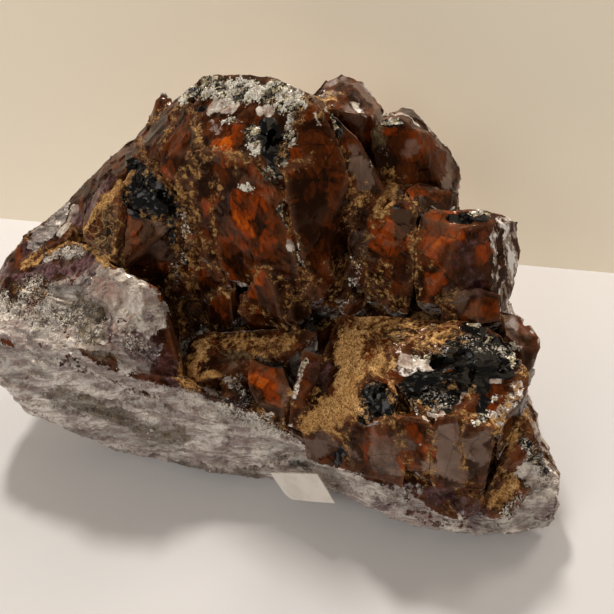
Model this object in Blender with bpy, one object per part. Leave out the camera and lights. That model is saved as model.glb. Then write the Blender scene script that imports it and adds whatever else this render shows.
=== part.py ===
"""Raw chevron amethyst: a hand-sized cluster of short, iron-stained quartz crystals on a rough lilac matrix.

Frame: X runs along the front edge of the specimen, Y from the front edge to the back, Z up. The origin
lies on the worn flat that the specimen rests on. Lengths below are in millimetres and are turned into
metres on build. Crystals and matrix grew together, so they are one solid; the collector's paper slip on
the front is another.
"""

import math
from itertools import combinations

import bmesh
import bpy
import numpy as np
from mathutils import Vector, noise

MM = 0.001
REST_HEIGHT = 0.0  # everything below this level is worn flat
WORN_BELOW = 0.5  # rail points under this height belong to that flat
ROUGHNESS = 1.3  # how far the broken matrix strays from its smooth outline
FAR_SIDE_ROUGHER = 2.0  # the far side is a coarser break
LUMP_SIZE = 14.0  # the break is made of lumps this wide, with chips on them
CHIP_SIZE = 5.0
CHIP_DEPTH = 0.5
BAND_STEP = 5.2  # spacing of the chevron bands that stand out of the front wall
BAND_DEPTH = 0.9
BAND_SLANT = 0.12  # how much the bands fall for each step to the right
STATION_STEP = 5.0

# Quartz: the end faces lean this far from the axis, and the six sides are not quite equally wide. Every
# second end face is smaller, set back by a share of the radius.
END_FACE_SLOPE = math.radians(38.2)
UNEVEN_SIDES = 0.13
SMALL_FACE_SET_BACK = 0.16
SAME_CORNER = 0.05

# Sections of the matrix across X. Each lists (y, z) of eight rails, going round the section: foot of the
# front wall, its middle, its upper rim, the hollow behind the rim, the middle ridge, the back rim, the
# back, its foot.
MATRIX = {
    -107: [(-17, 34), (-19, 37), (-16, 41), (-12, 44), (-7, 46), (-3, 45), (-1, 41), (-6, 36)],
    -104: [(-26, 30), (-28, 35), (-20, 43), (-13, 47), (-5, 49), (2, 48), (7, 41), (0, 32)],
    -97: [(-36, 26), (-38, 33), (-27, 44), (-16, 48), (-3, 52), (6, 53), (14, 43), (6, 27)],
    -83: [(-44, 21), (-43, 32), (-32, 43), (-17, 47), (0, 54), (13, 60), (26, 44), (14, 16)],
    -70: [(-43, 12), (-43, 26), (-32, 44), (-18, 49), (2, 56), (17, 64), (34, 42), (22, 8)],
    -58: [(-42, 3), (-41, 21), (-32, 45), (-20, 50), (5, 58), (24, 73), (42, 42), (30, 2)],
    -48: [(-41, 0), (-40, 19), (-31, 45), (-20, 46), (8, 54), (30, 78), (48, 44), (36, 0)],
    -36: [(-40.5, 0), (-38, 17), (-30, 38), (-20, 32), (8, 40), (37, 80), (52, 46), (40, 0)],
    -24: [(-40, 0), (-38, 15), (-29, 33), (-20, 23), (6, 32), (42, 80), (55, 47), (43, 0)],
    -8: [(-38.5, 0), (-37, 13), (-30, 28), (-22, 22), (4, 30), (45, 79), (57, 47), (45, 0)],
    10: [(-36, 1), (-36, 12), (-31, 23), (-25, 20), (4, 28), (47, 72), (58, 45), (46, 0)],
    26: [(-39, 3), (-39, 10), (-36, 19), (-29, 21), (4, 28), (46, 62), (57, 40), (45, 0)],
    42: [(-40, 0), (-41, 8), (-38, 17), (-29, 22), (4, 30), (38, 50), (50, 33), (40, 0)],
    54: [(-40, 0), (-41, 7), (-37, 14), (-29, 20), (2, 30), (30, 38), (40, 24), (32, 0)],
    63: [(-38, 0), (-40, 6), (-35, 13), (-28, 18), (-4, 27), (13, 28), (20, 17), (16, 0)],
    70: [(-34, 2), (-37, 6), (-32, 14), (-27, 18), (-17, 21), (-7, 20), (-3, 12), (-8, 3)],
    76: [(-30, 4), (-33, 8), (-30, 14), (-27, 16), (-23, 17), (-19, 16), (-17, 12), (-19, 8)],
    79: [(-29, 8), (-31, 10), (-29, 13), (-27, 14), (-25, 15), (-23, 14), (-22, 12), (-24, 9)],
}
PROFILE_CUTS = (5, 5, 2, 2, 3, 4, 4, 4)  # points from each rail to the next
FRONT_WALL = (0, 1)  # rails whose points carry the bands
FAR_SIDE = (4, 5, 6, 7)

# Large blocks with flat growth faces or flat breaks, each the convex hull of its corners.
BLOCKS = {
    # left shoulder: bright milky quartz above the front wall, with a stained face towards the hollow
    "milky_block": [
        (-61, -17, 52.5), (-66, -6, 56), (-50, -9.5, 60), (-43, -10, 57), (-33, -12, 54.5),
        (-32, -15.5, 50.5), (-42, -26, 48), (-45.5, -14, 57.5), (-28, -20, 38), (-26, -28, 30),
        (-45, -30, 40), (-47, -20, 52), (-60, -25, 38), (-40, -2, 36), (-64, -4, 36),
    ],
    "milky_slope": [
        (-45, -23, 50), (-42, -26, 48.5), (-56, -28, 44), (-50, -31, 44), (-34, -24, 42), (-38, -29, 40),
        (-48, -20, 40), (-30, -28, 32), (-46, -26, 32),
    ],
    "left_band": [
        (-98, -5, 49), (-86, -3, 53.5), (-73, 0, 58), (-57, -4, 60.5), (-50, -9, 60), (-61, -15, 54.5),
        (-78, -14, 50.5), (-92, -13, 47.5), (-96, 0, 38), (-60, -10, 38), (-55, 0, 40),
    ],
    "left_lip": [
        (-94, -15, 48), (-78, -17, 50), (-62, -19, 51), (-60, -22, 49.5), (-76, -24, 46.5), (-92, -22, 45),
        (-90, -14, 38), (-64, -16, 38), (-78, -28, 40),
    ],
    "ridge_low": [
        (-98, 2, 54), (-89, 7, 57.5), (-80, 12, 62.5), (-99, -4, 49), (-86, -2, 54), (-73, 1, 58.5),
        (-72, 10, 64), (-92, 16, 44), (-74, 22, 50), (-84, -2, 42), (-70, 6, 46),
    ],
    "ridge_high": [
        (-82, 11, 62), (-73, 15, 67.5), (-66, 20, 72.5), (-55, 26, 78.5), (-48, 30, 82.5), (-71, 2, 59.5),
        (-60, 7, 67), (-56, 12, 73), (-45, 19, 80.5), (-60, 36, 58), (-50, 10, 50), (-76, 4, 48),
        (-44, 32, 62),
    ],
    # two crystals left of the tall dome
    "veined_crystal": [
        (-64.5, 8.5, 69.5), (-54, 12, 77), (-49.5, 9.5, 76), (-47.5, 3, 67), (-48.5, -9, 60),
        (-62, -3, 63.5), (-66, 4, 66), (-60, 16, 50), (-44, 10, 50), (-46, -6, 46), (-66, 0, 50),
    ],
    "black_crystal": [
        (-50, 15.5, 78), (-44, 16.5, 81), (-39, 12, 77), (-30, 7.5, 71), (-31.5, 5, 66.5), (-38, 3.5, 66),
        (-46, 5, 70), (-50, 9, 73.5), (-46, 24, 56), (-28, 16, 56), (-34, 8, 52), (-48, 8, 54),
    ],
    "grey_crystal": [
        (-47, 4, 69.5), (-39, 3, 66), (-34, 4.5, 65), (-35, 2, 52), (-38, -1, 40), (-48, -9, 56),
        (-47.5, -2, 62), (-46, 10, 40), (-32, 12, 45), (-44, -6, 38),
    ],
    "dark_crystal": [
        (-36, 6, 66), (-31, 6.5, 64), (-29, 4, 58), (-31, 1, 46), (-37, -1, 42), (-38, 1, 50),
        (-36, 12, 44), (-28, 12, 50), (-34, 0, 34),
    ],
    "shoulder_crystal": [
        (-27, 33, 94.5), (-34, 31, 89.5), (-48, 30, 82.5), (-53, 26, 79), (-44, 18, 81.5), (-37, 17, 83),
        (-33, 24, 88), (-44, 12, 74), (-50, 36, 62), (-30, 12, 60), (-26, 44, 66), (-48, 20, 60),
    ],
    "upper_left_crystal": [
        (-34, 27, 89.5), (-27, 25, 91), (-22, 14, 84.5), (-29, 13, 82.5), (-37, 15, 81), (-37, 12, 77),
        (-29, 9, 76), (-22, 10, 77), (-34, 24, 60), (-24, 22, 60), (-30, 8, 62),
    ],
    # the tall dome: several crystals grown side by side
    "dome_cap": [
        (-27, 33, 94.5), (-22, 32, 95.5), (-11, 30, 96.7), (-4, 29, 96.2), (3, 26, 95.5), (7, 25, 93.5),
        (11, 22.5, 90.5), (-28, 20, 87), (-21, 12, 83), (-11, 11, 84), (-1, 10, 85), (4, 8.5, 81),
        (14, 17, 83), (-26, 46, 84), (-8, 46, 85), (8, 38, 83), (-28, 20, 50), (12, 18, 50), (-26, 44, 50),
        (10, 42, 50),
    ],
    "dome_core": [
        (-28, 13, 79), (-20, 11, 80), (0, 10.5, 80), (14, 17, 80), (-29, 7, 62), (-18, 5, 60), (4, 4, 60),
        (16, 14, 66), (-31, 5, 44), (4, 2, 42), (14, 8, 44), (-30, 30, 44), (16, 30, 44), (-28, 36, 72),
        (12, 34, 72),
    ],
    "dome_brow": [
        (-24, 13.5, 84), (-12, 11.5, 84.5), (-9.5, 8, 80), (-12, 6, 74), (-17, 5, 68), (-21, 7.5, 70),
        (-24.5, 10, 77), (-20, 20, 60), (-10, 20, 60), (-5, 9, 81),
    ],
    "dome_front": [
        (-10.5, 11, 84), (-4, 9.5, 83.5), (1.5, 7, 78.5), (-9.5, 5.5, 77), (0.5, 4.3, 75), (3.7, 3, 67.5),
        (6, 0, 57), (-5, -2, 57.5), (-17, 2, 65), (-20, 1, 55), (-19, 0, 48), (5, 0, 44), (-16, 20, 50),
        (6, 20, 50), (-12, 4, 40), (-20, 10, 76), (4, 9, 74),
    ],
    "dome_right": [
        (7.5, 24, 93), (4, 12.5, 86.5), (4.3, 8, 79), (5.3, 4, 68), (7.5, 1, 57), (10, 3, 42), (17, 12, 70),
        (19, 15, 75.5), (17, 18.5, 83), (12, 22.8, 90), (14, 9, 48), (18, 16, 50), (4, 24, 50), (0, 6, 40),
    ],
    "dome_left": [
        (-21, 11.5, 81), (-18, 6, 70), (-17, 3, 62), (-20, 2, 53), (-26, 3, 54), (-27, 6, 66), (-25, 9, 76),
        (-24, 1, 42), (-18, 1, 42), (-28, 20, 50), (-14, 16, 50),
    ],
    "dome_flank": [
        (-28, 12, 80), (-24, 11, 80), (-25, 7, 70), (-26, 4, 58), (-31, 5, 58), (-32, 7, 66), (-30, 9, 75),
        (-33, 3, 44), (-26, 2, 42), (-34, 16, 50), (-24, 16, 50),
    ],
    "stained_slab": [
        (13, 25, 88.5), (16.5, 22.5, 85), (21, 22, 82.5), (26, 22, 66), (25, 18, 57), (21, 15.5, 69),
        (17.5, 13, 61), (16, 16, 78), (26, 32, 54), (14, 28, 54), (20, 12, 46),
    ],
    "little_crystal": [
        (20, 15, 69), (23, 17, 69), (26, 18, 64), (17, 10, 57), (20, 11, 56), (24, 16, 50), (18, 8, 44),
        (24, 24, 44),
    ],
    # back right: two upright crystals
    "back_crystal": [
        (3, 36, 86.5), (4, 46, 86), (8.5, 50, 86), (13, 50, 84), (20, 46, 78.5), (20, 37, 80), (12, 33, 84),
        (6, 32, 86), (14, 42, 84.5), (4, 36, 58), (22, 36, 58), (8, 53, 60), (22, 49, 60),
    ],
    "round_crystal": [
        (20, 31, 79), (23, 34, 81), (28, 35, 81), (25.5, 46, 78), (29, 46, 77), (32, 44, 74.5),
        (37, 42, 70.5), (40.5, 42, 66), (43.5, 40, 59.5), (42, 33, 55.5), (39, 31, 64.5), (31, 27.5, 65.5),
        (25, 27, 65.5), (22, 28, 70.5), (36, 37, 75), (33, 33.5, 78), (22, 30, 48), (42, 32, 44),
        (40, 46, 46), (24, 48, 48),
    ],
    "step_crystal": [
        (31, 24, 66.5), (34, 27, 66.8), (42, 29.5, 62.5), (44, 31, 61), (43, 27, 58.5), (36, 18, 63),
        (31, 20, 64), (45, 24, 52), (30, 28, 48), (44, 34, 46),
    ],
    # right: a crystal seen side-on, with a glassy end
    "orange_crystal": [
        (23, 15.5, 60.5), (26, 18, 63.5), (31, 22, 66.8), (35.5, 18, 63.5), (35.5, 12, 57.5),
        (35.5, 5, 43.5), (21, 7, 37), (19.5, 11, 52), (34, 4, 38), (22, 24, 44), (36, 22, 40),
    ],
    "long_crystal": [
        (36.5, 16.5, 63.2), (39, 19.5, 63.8), (51, 21.5, 63.2), (57, 22, 61.7), (60.5, 20.7, 60),
        (62.2, 18, 51), (62, 15, 43), (60, 12, 34.5), (57, 8.5, 36), (53.5, 15.5, 63), (47, 13.5, 62.8),
        (44, 7.5, 52.5), (39, 4, 43.5), (36, 5.5, 42), (34.5, 12.5, 57), (36, 26, 42), (57, 28, 44),
        (40, 8, 32), (58, 22, 32),
    ],
    "low_slab": [
        (42, 6.5, 44), (45, 3, 40.5), (53, 8, 48), (58.5, 8, 46), (59.5, 3, 41), (54, 0.5, 42),
        (44, 10, 28), (60, 8, 28), (46, 0, 30),
    ],
    "far_crystal": [
        (59, 8, 39.5), (62, 8.5, 39), (69, 3, 37.5), (70, 0, 36), (68.5, -3.5, 33), (65, -3, 38.5),
        (61, 0, 39.5), (60, 8, 22), (66, 3, 24), (66, -8, 24), (58, -4, 28),
    ],
    # lower right: a broken block under an ochre crust
    "crusted_top": [
        (13, -4, 35.5), (15, 1, 37.5), (30, 1, 40), (46, 1, 41), (49, -8, 41), (34, -12, 42.5),
        (27, -22, 38.5), (29, -29, 34.5), (20, -28, 32), (12, -32, 27.5), (14, -37, 19), (27, -38, 20),
        (14, 0, 20), (46, 0, 24), (40, -20, 38),
    ],
    "broken_head": [
        (46, 0.5, 42), (54, 0, 43.5), (60, -2, 42.3), (65, -8, 41.3), (66.5, -12, 40.5),
        (62.5, -15.5, 40.5), (55, -20, 41.5), (46, -17, 43.5), (34, -12, 43), (33, -19, 40),
        (62, -27, 35.5), (47, -27, 38.5), (67, -14, 30), (64, -26, 20), (40, -28, 24), (44, 0, 26),
        (60, 2, 26),
    ],
    "side_sliver": [
        (65, -9, 40.5), (67.7, -11, 40.5), (68, -15, 39.5), (65, -21, 37), (62.5, -26.5, 34.5),
        (61.5, -25, 36.5), (63, -29, 26), (68, -16, 28), (62, -12, 30),
    ],
    "black_chunk": [
        (27.5, -22, 39.5), (33.5, -19, 41.5), (37.5, -23, 40.5), (38.5, -29.5, 38.5), (34, -31, 36.5),
        (29, -29.5, 35.8), (26.5, -27, 35.5), (30, -20, 28), (40, -24, 28), (34, -34, 26),
    ],
    "red_face": [
        (28, -30.5, 35), (36, -31.5, 36.5), (38.5, -30, 38), (42, -36.5, 26), (41, -39, 19.5),
        (30, -39, 20.5), (26, -36, 25), (25, -33, 30), (28, -22, 30), (42, -22, 30), (34, -30, 14),
    ],
    "middle_face": [
        (38, -29, 38.2), (45, -28.5, 38.5), (48, -30, 37), (47.5, -35.5, 26), (42, -36, 25), (40, -33, 31),
        (40, -20, 30), (48, -20, 30), (42, -32, 16), (48, -34, 16),
    ],
    "grey_end": [
        (48, -29, 40), (53, -27.5, 41), (54.5, -30.5, 35), (56.5, -36, 22.5), (50, -38.2, 20.3),
        (47.5, -36.5, 22.5), (48, -18, 36), (56, -18, 34), (50, -24, 14), (57, -26, 14),
    ],
    "grey_step": [
        (54.5, -28, 39), (61.5, -27, 37.8), (62, -28, 35), (61, -34.5, 20.3), (55, -36, 20.5),
        (54, -31, 34), (54, -18, 34), (62, -18, 32), (56, -24, 12), (62, -24, 12),
    ],
    "violet_foot": [
        (47, -37, 21), (61, -35, 21), (60, -38.5, 15), (57, -40.5, 12), (48, -41, 13), (44, -39, 17),
        (50, -30, 10), (60, -30, 10),
    ],
    # ledge in the middle of the hollow
    "ochre_ledge": [
        (-31, -15, 33.5), (-28, -11, 34), (-10, -7, 35), (4, -4, 35.5), (9, -4, 33.5), (3, -13, 33.5),
        (-5, -16, 35.5), (-15, -20, 34), (-16, -24, 32), (-27, -26.5, 27.5), (-30, -22, 31), (-28, -10, 18),
        (8, -6, 18), (-20, -24, 20), (4, -16, 20),
    ],
    "ledge_crystal": [
        (-7, -18, 35.5), (2, -17, 35), (9, -26, 34.5), (7, -29, 32.5), (-1, -29.5, 30.5), (-6, -25, 32.5),
        (-2, -10, 24), (8, -20, 20), (-4, -30, 20), (6, -32, 22),
    ],
    "bright_prism": [
        (7.5, -12.5, 36), (9.5, -12.7, 36.2), (13.5, -12, 34.5), (14, -20, 33), (13, -27, 30),
        (11.2, -26, 34), (8.8, -26.5, 34.2), (13, -32, 24), (8, -31.5, 26), (8, -10, 24), (15, -12, 22),
    ],
    # foot of the dome
    "arrow_crystal": [
        (-3.5, -1, 59.5), (-16, -4.5, 38.5), (-0.5, -5.5, 40.5), (4, 2, 50), (-12, 6, 48), (-14, -4, 26),
        (0, -5, 26), (-4, 12, 44), (7, 4, 38),
    ],
    "red_triangle": [
        (-28.5, -1.5, 39), (-21, -1, 44), (-18, -2.5, 43), (-19, -5, 34), (-29, -5, 32.5), (-20, 8, 42),
        (-31, 6, 34), (-24, -4, 22), (-16, 2, 30),
    ],
    "foot_crystal": [
        (6.5, 1.5, 56), (12, 6, 53.5), (14.5, 5.5, 47), (12, 2.5, 39), (3, -1, 40), (1, -1, 48),
        (10, 12, 40), (0, 4, 30), (14, 6, 30),
    ],
    "dark_foot": [
        (-31, 3, 50), (-22, 2, 53), (-18, 0, 46), (-22, -1, 44), (-30, 0, 44), (-34, -2, 36), (-20, 4, 32),
        (-34, 8, 36),
    ],
    # solid heart of the cluster, under the crystals
    "heart_right": [
        (36, 8, 24), (58, 8, 24), (58, 22, 24), (36, 24, 24), (38, 9, 38), (55, 10, 36), (56, 22, 40),
        (38, 22, 42),
    ],
    "heart_front": [
        (42, -30, 10), (60, -30, 10), (62, -14, 12), (42, -8, 12), (44, -26, 30), (60, -24, 30),
        (62, -12, 32), (44, -6, 34),
    ],
    # right end of the specimen
    "right_lump": [
        (69.5, -19, 29), (73, -23, 24.5), (77, -27, 15), (80, -30, 8), (77.5, -32, 2), (72, -36, 4),
        (67, -38.5, 5), (69, -17, 29), (66, -16, 29.5), (63, -31, 23), (60, -36, 14), (70, -14, 14),
        (62, -12, 12),
    ],
    "amber_crystal": [
        (66.5, -17, 31), (70.5, -20.5, 30), (72, -23, 26), (69, -27, 25), (64, -31, 24), (62, -32, 20),
        (66, -30, 12), (72, -25, 14), (64, -16, 20),
    ],
}

# Smaller crystals with the pyramid end of quartz: tip, lean from upright and the heading of that lean
# (anticlockwise from +X) in degrees, radius, length and turn about the axis.
POINTS = [
    # lilac crystals along the crest of the left ridge
    ((-45, 36, 88), 28, 118, 6.0, 22, 10), ((-50, 33, 83), 35, 140, 4.0, 16, 40),
    ((-64, 24, 74), 30, 150, 5.5, 20, 25), ((-75, 17, 67), 32, 165, 6.0, 20, 0),
    ((-86, 11, 59.5), 38, 175, 6.0, 20, 45), ((-95, 2, 55), 30, 200, 5.5, 18, 15),
    # in the hollow, between the large crystals
    ((-36, -1, 49), 20, 290, 4.5, 18, 5), ((-33, -5, 41), 25, 300, 4.0, 16, 30),
    ((-31, -9, 36.5), 30, 310, 3.5, 14, 50), ((-13, -3, 44), 22, 285, 3.6, 16, 20),
    ((3, -3, 45), 18, 300, 4.2, 18, 35), ((9, 1, 50), 20, 320, 3.4, 16, 10),
    ((15, 6, 47), 25, 300, 4.0, 18, 0), ((18, 9, 52), 18, 280, 3.6, 16, 25),
    ((18, 4, 41), 30, 290, 3.8, 16, 15), ((24, 9, 46), 25, 280, 4.2, 18, 40),
    ((29, 6, 43), 25, 270, 3.8, 16, 5), ((22, 18, 65), 14, 300, 3.4, 18, 20),
    ((28, 25, 67), 16, 300, 3.6, 16, 50), ((24, 23, 68), 10, 290, 3.0, 14, 0),
    ((-24, 3, 60), 20, 270, 4.0, 20, 25), ((-29, 5, 66), 15, 260, 3.6, 20, 45),
    ((-40, 14, 80), 12, 270, 3.4, 18, 15), ((-22, -27, 29), 35, 280, 3.6, 12, 20),
    ((-12, -28, 31), 32, 275, 4.4, 14, 0), ((-2, -31, 28.5), 40, 270, 3.4, 12, 35),
    ((4, -32, 27), 40, 280, 3.0, 12, 10),
    # front and right-hand foot
    ((57, -42, 18), 72, 275, 4.5, 16, 10), ((66, -38, 14), 60, 290, 5.5, 18, 30),
    ((74, -30, 17), 50, 320, 5.0, 16, 5), ((70, -34, 20), 48, 300, 4.5, 16, 40),
    ((42, -41, 14), 66, 265, 4.0, 14, 20), ((68, -2, 31), 35, 20, 4.0, 16, 15),
    # the far side, which broke away from the rock with a few crystals still on it
    ((-20, 52, 79), 40, 92, 8.0, 26, 10), ((0, 54, 78), 45, 85, 7.0, 24, 35),
    ((18, 56, 70), 45, 80, 7.5, 24, 5), ((34, 53, 64), 45, 70, 7.0, 24, 50),
    ((-40, 46, 74), 42, 105, 7.0, 24, 20), ((-58, 40, 64), 50, 110, 7.5, 24, 0),
    ((-76, 28, 56), 50, 120, 6.5, 20, 30), ((46, 42, 46), 58, 60, 6.5, 22, 15),
    ((56, 30, 38), 60, 45, 6.0, 20, 40), ((-8, 62, 60), 65, 92, 8.0, 26, 25),
    ((14, 64, 52), 70, 85, 7.0, 26, 45), ((-32, 58, 54), 65, 100, 7.5, 26, 5),
    ((-52, 50, 44), 70, 110, 6.5, 24, 35), ((36, 58, 44), 68, 70, 6.5, 24, 20),
    ((63, 16, 28), 55, 30, 5.0, 18, 10),
]

# Hollows left where pieces broke off: centre, half sizes and turn about Z in degrees.
BREAKS = {
    "head_bite": ((46, -24, 43.5), (13, 5.5, 6), 8),
    "left_pit": ((-57, -24, 51.5), (11, 6.5, 5.5), 18),
    "dark_hole": ((38, 1, 46), (4, 5, 5), 0),
    "slip_gap": ((9, -36, 13), (6, 3, 2.5), 0),
    "black_scoop": ((-40, 0, 75), (8, 7, 6), 30),
}

# The collector's slip: its upper left corner, then its two edges.
SLIP_CORNER = (3.0, -40.3, 13.0)
SLIP_RIGHT = (15.5, 0.0, 6.5)
SLIP_DOWN = (4.6, -3.3, -8.2)
SLIP_THICK = 0.35
SLIP_WORN_CORNER = (0.16, 0.272)  # how far its lower left corner is worn, as shares of the two edges
SLIP_CORNER_STEPS = 4

MATERIALS = {
    "amethyst_cluster": ("amethyst", (0.30, 0.13, 0.07, 1.0), 0.28),
    "paper_label": ("paper", (0.86, 0.84, 0.78, 1.0), 0.85),
}


def clear_scene():
    for obj in list(bpy.data.objects):
        bpy.data.objects.remove(obj, do_unlink=True)


def add_object(name, vertices, faces, collection=None):
    mesh = bpy.data.meshes.new(name)
    mesh.from_pydata([Vector(v) * MM for v in vertices], [], faces)
    mesh.update()
    obj = bpy.data.objects.new(name, mesh)
    (collection or bpy.context.scene.collection).objects.link(obj)
    return obj


def make_helper(obj):
    obj.hide_render = True
    obj.display_type = "WIRE"
    return obj


def face_outwards(obj, in_triangles=False):
    shape = bmesh.new()
    shape.from_mesh(obj.data)
    bmesh.ops.recalc_face_normals(shape, faces=shape.faces)
    if in_triangles:
        bmesh.ops.triangulate(shape, faces=shape.faces)
    shape.to_mesh(obj.data)
    shape.free()


def hull_faces(corners):
    """Vertices and faces of the convex hull of the corners."""
    shape = bmesh.new()
    points = [shape.verts.new(c) for c in corners]
    result = bmesh.ops.convex_hull(shape, input=points)
    spare = [e for e in result["geom_interior"] + result["geom_unused"] if isinstance(e, bmesh.types.BMVert)]
    bmesh.ops.delete(shape, geom=list(set(spare)), context="VERTS")
    bmesh.ops.dissolve_limit(shape, angle_limit=math.radians(1.0), verts=shape.verts, edges=shape.edges)
    bmesh.ops.recalc_face_normals(shape, faces=shape.faces)
    shape.verts.index_update()
    vertices = [tuple(v.co) for v in shape.verts]
    faces = [[v.index for v in f.verts] for f in shape.faces]
    shape.free()
    return vertices, faces


def quartz_corners(tip, lean, heading, radius, length, turn=0.0):
    """Corners of a six-sided crystal with a pointed end, where large and small end faces alternate."""
    lean, heading = math.radians(lean), math.radians(heading)
    axis = Vector((math.sin(lean) * math.cos(heading), math.sin(lean) * math.sin(heading), math.cos(lean)))
    side = axis.orthogonal().normalized()
    other = axis.cross(side)
    planes = []
    for k in range(6):
        angle = math.radians(60 * k + turn)
        out = side * math.cos(angle) + other * math.sin(angle)
        planes.append((out, radius * (1.0 + UNEVEN_SIDES * math.sin(2.1 * k + turn))))
        end_face = out * math.cos(END_FACE_SLOPE) + axis * math.sin(END_FACE_SLOPE)
        planes.append((end_face, 0.0 if k % 2 == 0 else SMALL_FACE_SET_BACK * radius))
    planes.append((-axis, length))
    corners = []
    for a, b, c in combinations(planes, 3):
        grid = np.array([a[0], b[0], c[0]])
        if abs(np.linalg.det(grid)) < 1e-6:
            continue
        point = Vector(np.linalg.solve(grid, [a[1], b[1], c[1]]))
        if all(point.dot(n) <= d + 1e-6 for n, d in planes):
            corners.append(point + Vector(tip))
    kept = []
    for corner in corners:
        if all((corner - other_corner).length > SAME_CORNER for other_corner in kept):
            kept.append(corner)
    return kept


def drift(place, size):
    """A smooth random offset, each part between -1 and 1, that repeats exactly from build to build."""
    return Vector(noise.noise(place / size + Vector((17.3 * k, 9.1 * k, 4.7 * k))) for k in range(3))


def section_at(x):
    """Rails of the matrix at x, between the two sections either side."""
    stations = sorted(MATRIX)
    rails = np.array([MATRIX[s] for s in stations], float)
    return np.array([[np.interp(x, stations, rails[:, r, k]) for k in (0, 1)] for r in range(8)])


def matrix_mesh():
    first, last = min(MATRIX), max(MATRIX)
    count = round((last - first) / STATION_STEP)
    rows = []
    for i in range(count + 1):
        x = first + (last - first) * i / count
        rails = section_at(x)
        ring = []
        for r in range(8):
            start, end = rails[r], rails[(r + 1) % 8]
            for k in range(PROFILE_CUTS[r]):
                y, z = start + (end - start) * k / PROFILE_CUTS[r]
                place = Vector((x, y, z))
                rough = ROUGHNESS * (FAR_SIDE_ROUGHER if r in FAR_SIDE else 1.0)
                shift = drift(place, LUMP_SIZE) * rough + drift(place, CHIP_SIZE) * CHIP_DEPTH
                worn = z < WORN_BELOW
                if r in FRONT_WALL and not worn:
                    band = (z + BAND_SLANT * x) / BAND_STEP
                    shift.y -= BAND_DEPTH * (abs((band % 2.0) - 1.0) - 0.5)
                place += shift if not worn else Vector((shift.x, shift.y, 0.0))
                if worn or place.z < REST_HEIGHT:
                    place.z = REST_HEIGHT
                ring.append(place)
        rows.append(ring)
    size = len(rows[0])
    vertices = [tuple(p) for ring in rows for p in ring]
    faces = []
    for i in range(count):
        for k in range(size):
            a, b = i * size + k, i * size + (k + 1) % size
            faces.append([a, b, b + size, a + size])
    for ring_start, flip in ((0, False), (count * size, True)):
        centre = len(vertices)
        vertices.append(tuple(sum((Vector(vertices[ring_start + k]) for k in range(size)), Vector()) / size))
        for k in range(size):
            face = [ring_start + k, ring_start + (k + 1) % size, centre]
            faces.append(face[::-1] if not flip else face)
    return vertices, faces


def rounded_block(centre, half_sizes, turn):
    """Vertices and faces of a rounded block, which breaks a shell-shaped hollow out of the cluster."""
    shape = bmesh.new()
    bmesh.ops.create_icosphere(shape, subdivisions=2, radius=1.0)
    angle = math.radians(turn)
    vertices = []
    for vertex in shape.verts:
        x, y, z = (vertex.co[k] * half_sizes[k] for k in range(3))
        across = x * math.cos(angle) - y * math.sin(angle)
        deep = x * math.sin(angle) + y * math.cos(angle)
        vertices.append((across + centre[0], deep + centre[1], z + centre[2]))
    faces = [[v.index for v in f.verts] for f in shape.faces]
    shape.free()
    return vertices, faces


def helper_collection(name):
    group = bpy.data.collections.new(name)
    bpy.context.scene.collection.children.link(group)
    return group


def add_boolean(obj, operation, group):
    step = obj.modifiers.new(group.name, "BOOLEAN")
    step.operation = operation
    step.operand_type = "COLLECTION"
    step.collection = group
    step.solver = "EXACT"


def build_cluster():
    grown = helper_collection("grown_together")
    for name, corners in BLOCKS.items():
        make_helper(add_object(name, *hull_faces(corners), grown))
    for number, point in enumerate(POINTS):
        make_helper(add_object(f"point_{number:02d}", *hull_faces(quartz_corners(*point)), grown))
    broken = helper_collection("broken_away")
    for name, block in BREAKS.items():
        make_helper(add_object(name, *rounded_block(*block), broken))
    cluster = add_object("amethyst_cluster", *matrix_mesh())
    face_outwards(cluster, in_triangles=True)
    add_boolean(cluster, "UNION", grown)
    add_boolean(cluster, "DIFFERENCE", broken)
    return cluster


def build_slip():
    """A thin paper slip with one worn corner."""
    corner, right, down = Vector(SLIP_CORNER), Vector(SLIP_RIGHT), Vector(SLIP_DOWN)
    out = down.cross(right).normalized()
    across, up = SLIP_WORN_CORNER
    outline = [(0, 0), (1, 0), (1, 1)]
    for k in range(SLIP_CORNER_STEPS + 1):
        angle = math.radians(90 + 90 * k / SLIP_CORNER_STEPS)
        outline.append((across + across * math.cos(angle), 1 - up + up * math.sin(angle)))
    back = [corner + right * u + down * v for u, v in outline]
    front = [p + out * SLIP_THICK for p in back]
    size = len(outline)
    faces = [list(range(size))[::-1], list(range(size, 2 * size))]
    faces += [[k, (k + 1) % size, size + (k + 1) % size, size + k] for k in range(size)]
    slip = add_object("paper_label", [tuple(p) for p in back + front], faces)
    face_outwards(slip)
    return slip


def give_material(obj):
    slot, colour, rough = MATERIALS[obj.name]
    material = bpy.data.materials.new(slot)
    material.use_nodes = True
    shader = material.node_tree.nodes["Principled BSDF"]
    shader.inputs["Base Color"].default_value = colour
    shader.inputs["Roughness"].default_value = rough
    obj.data.materials.clear()
    obj.data.materials.append(material)


clear_scene()
give_material(build_cluster())
give_material(build_slip())
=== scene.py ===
"""Looks of the raw chevron amethyst: iron-stained quartz crystals on a rough lilac matrix, with a paper slip.

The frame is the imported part's: metres, X along the front edge, Y to the back, Z up. Shapes are worked out in
millimetres. The stone's CAD mesh is copied and cut finer, given its broken, grown and crusted surfaces, and
marked with what covers it where. One material reads those marks.
"""

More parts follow.
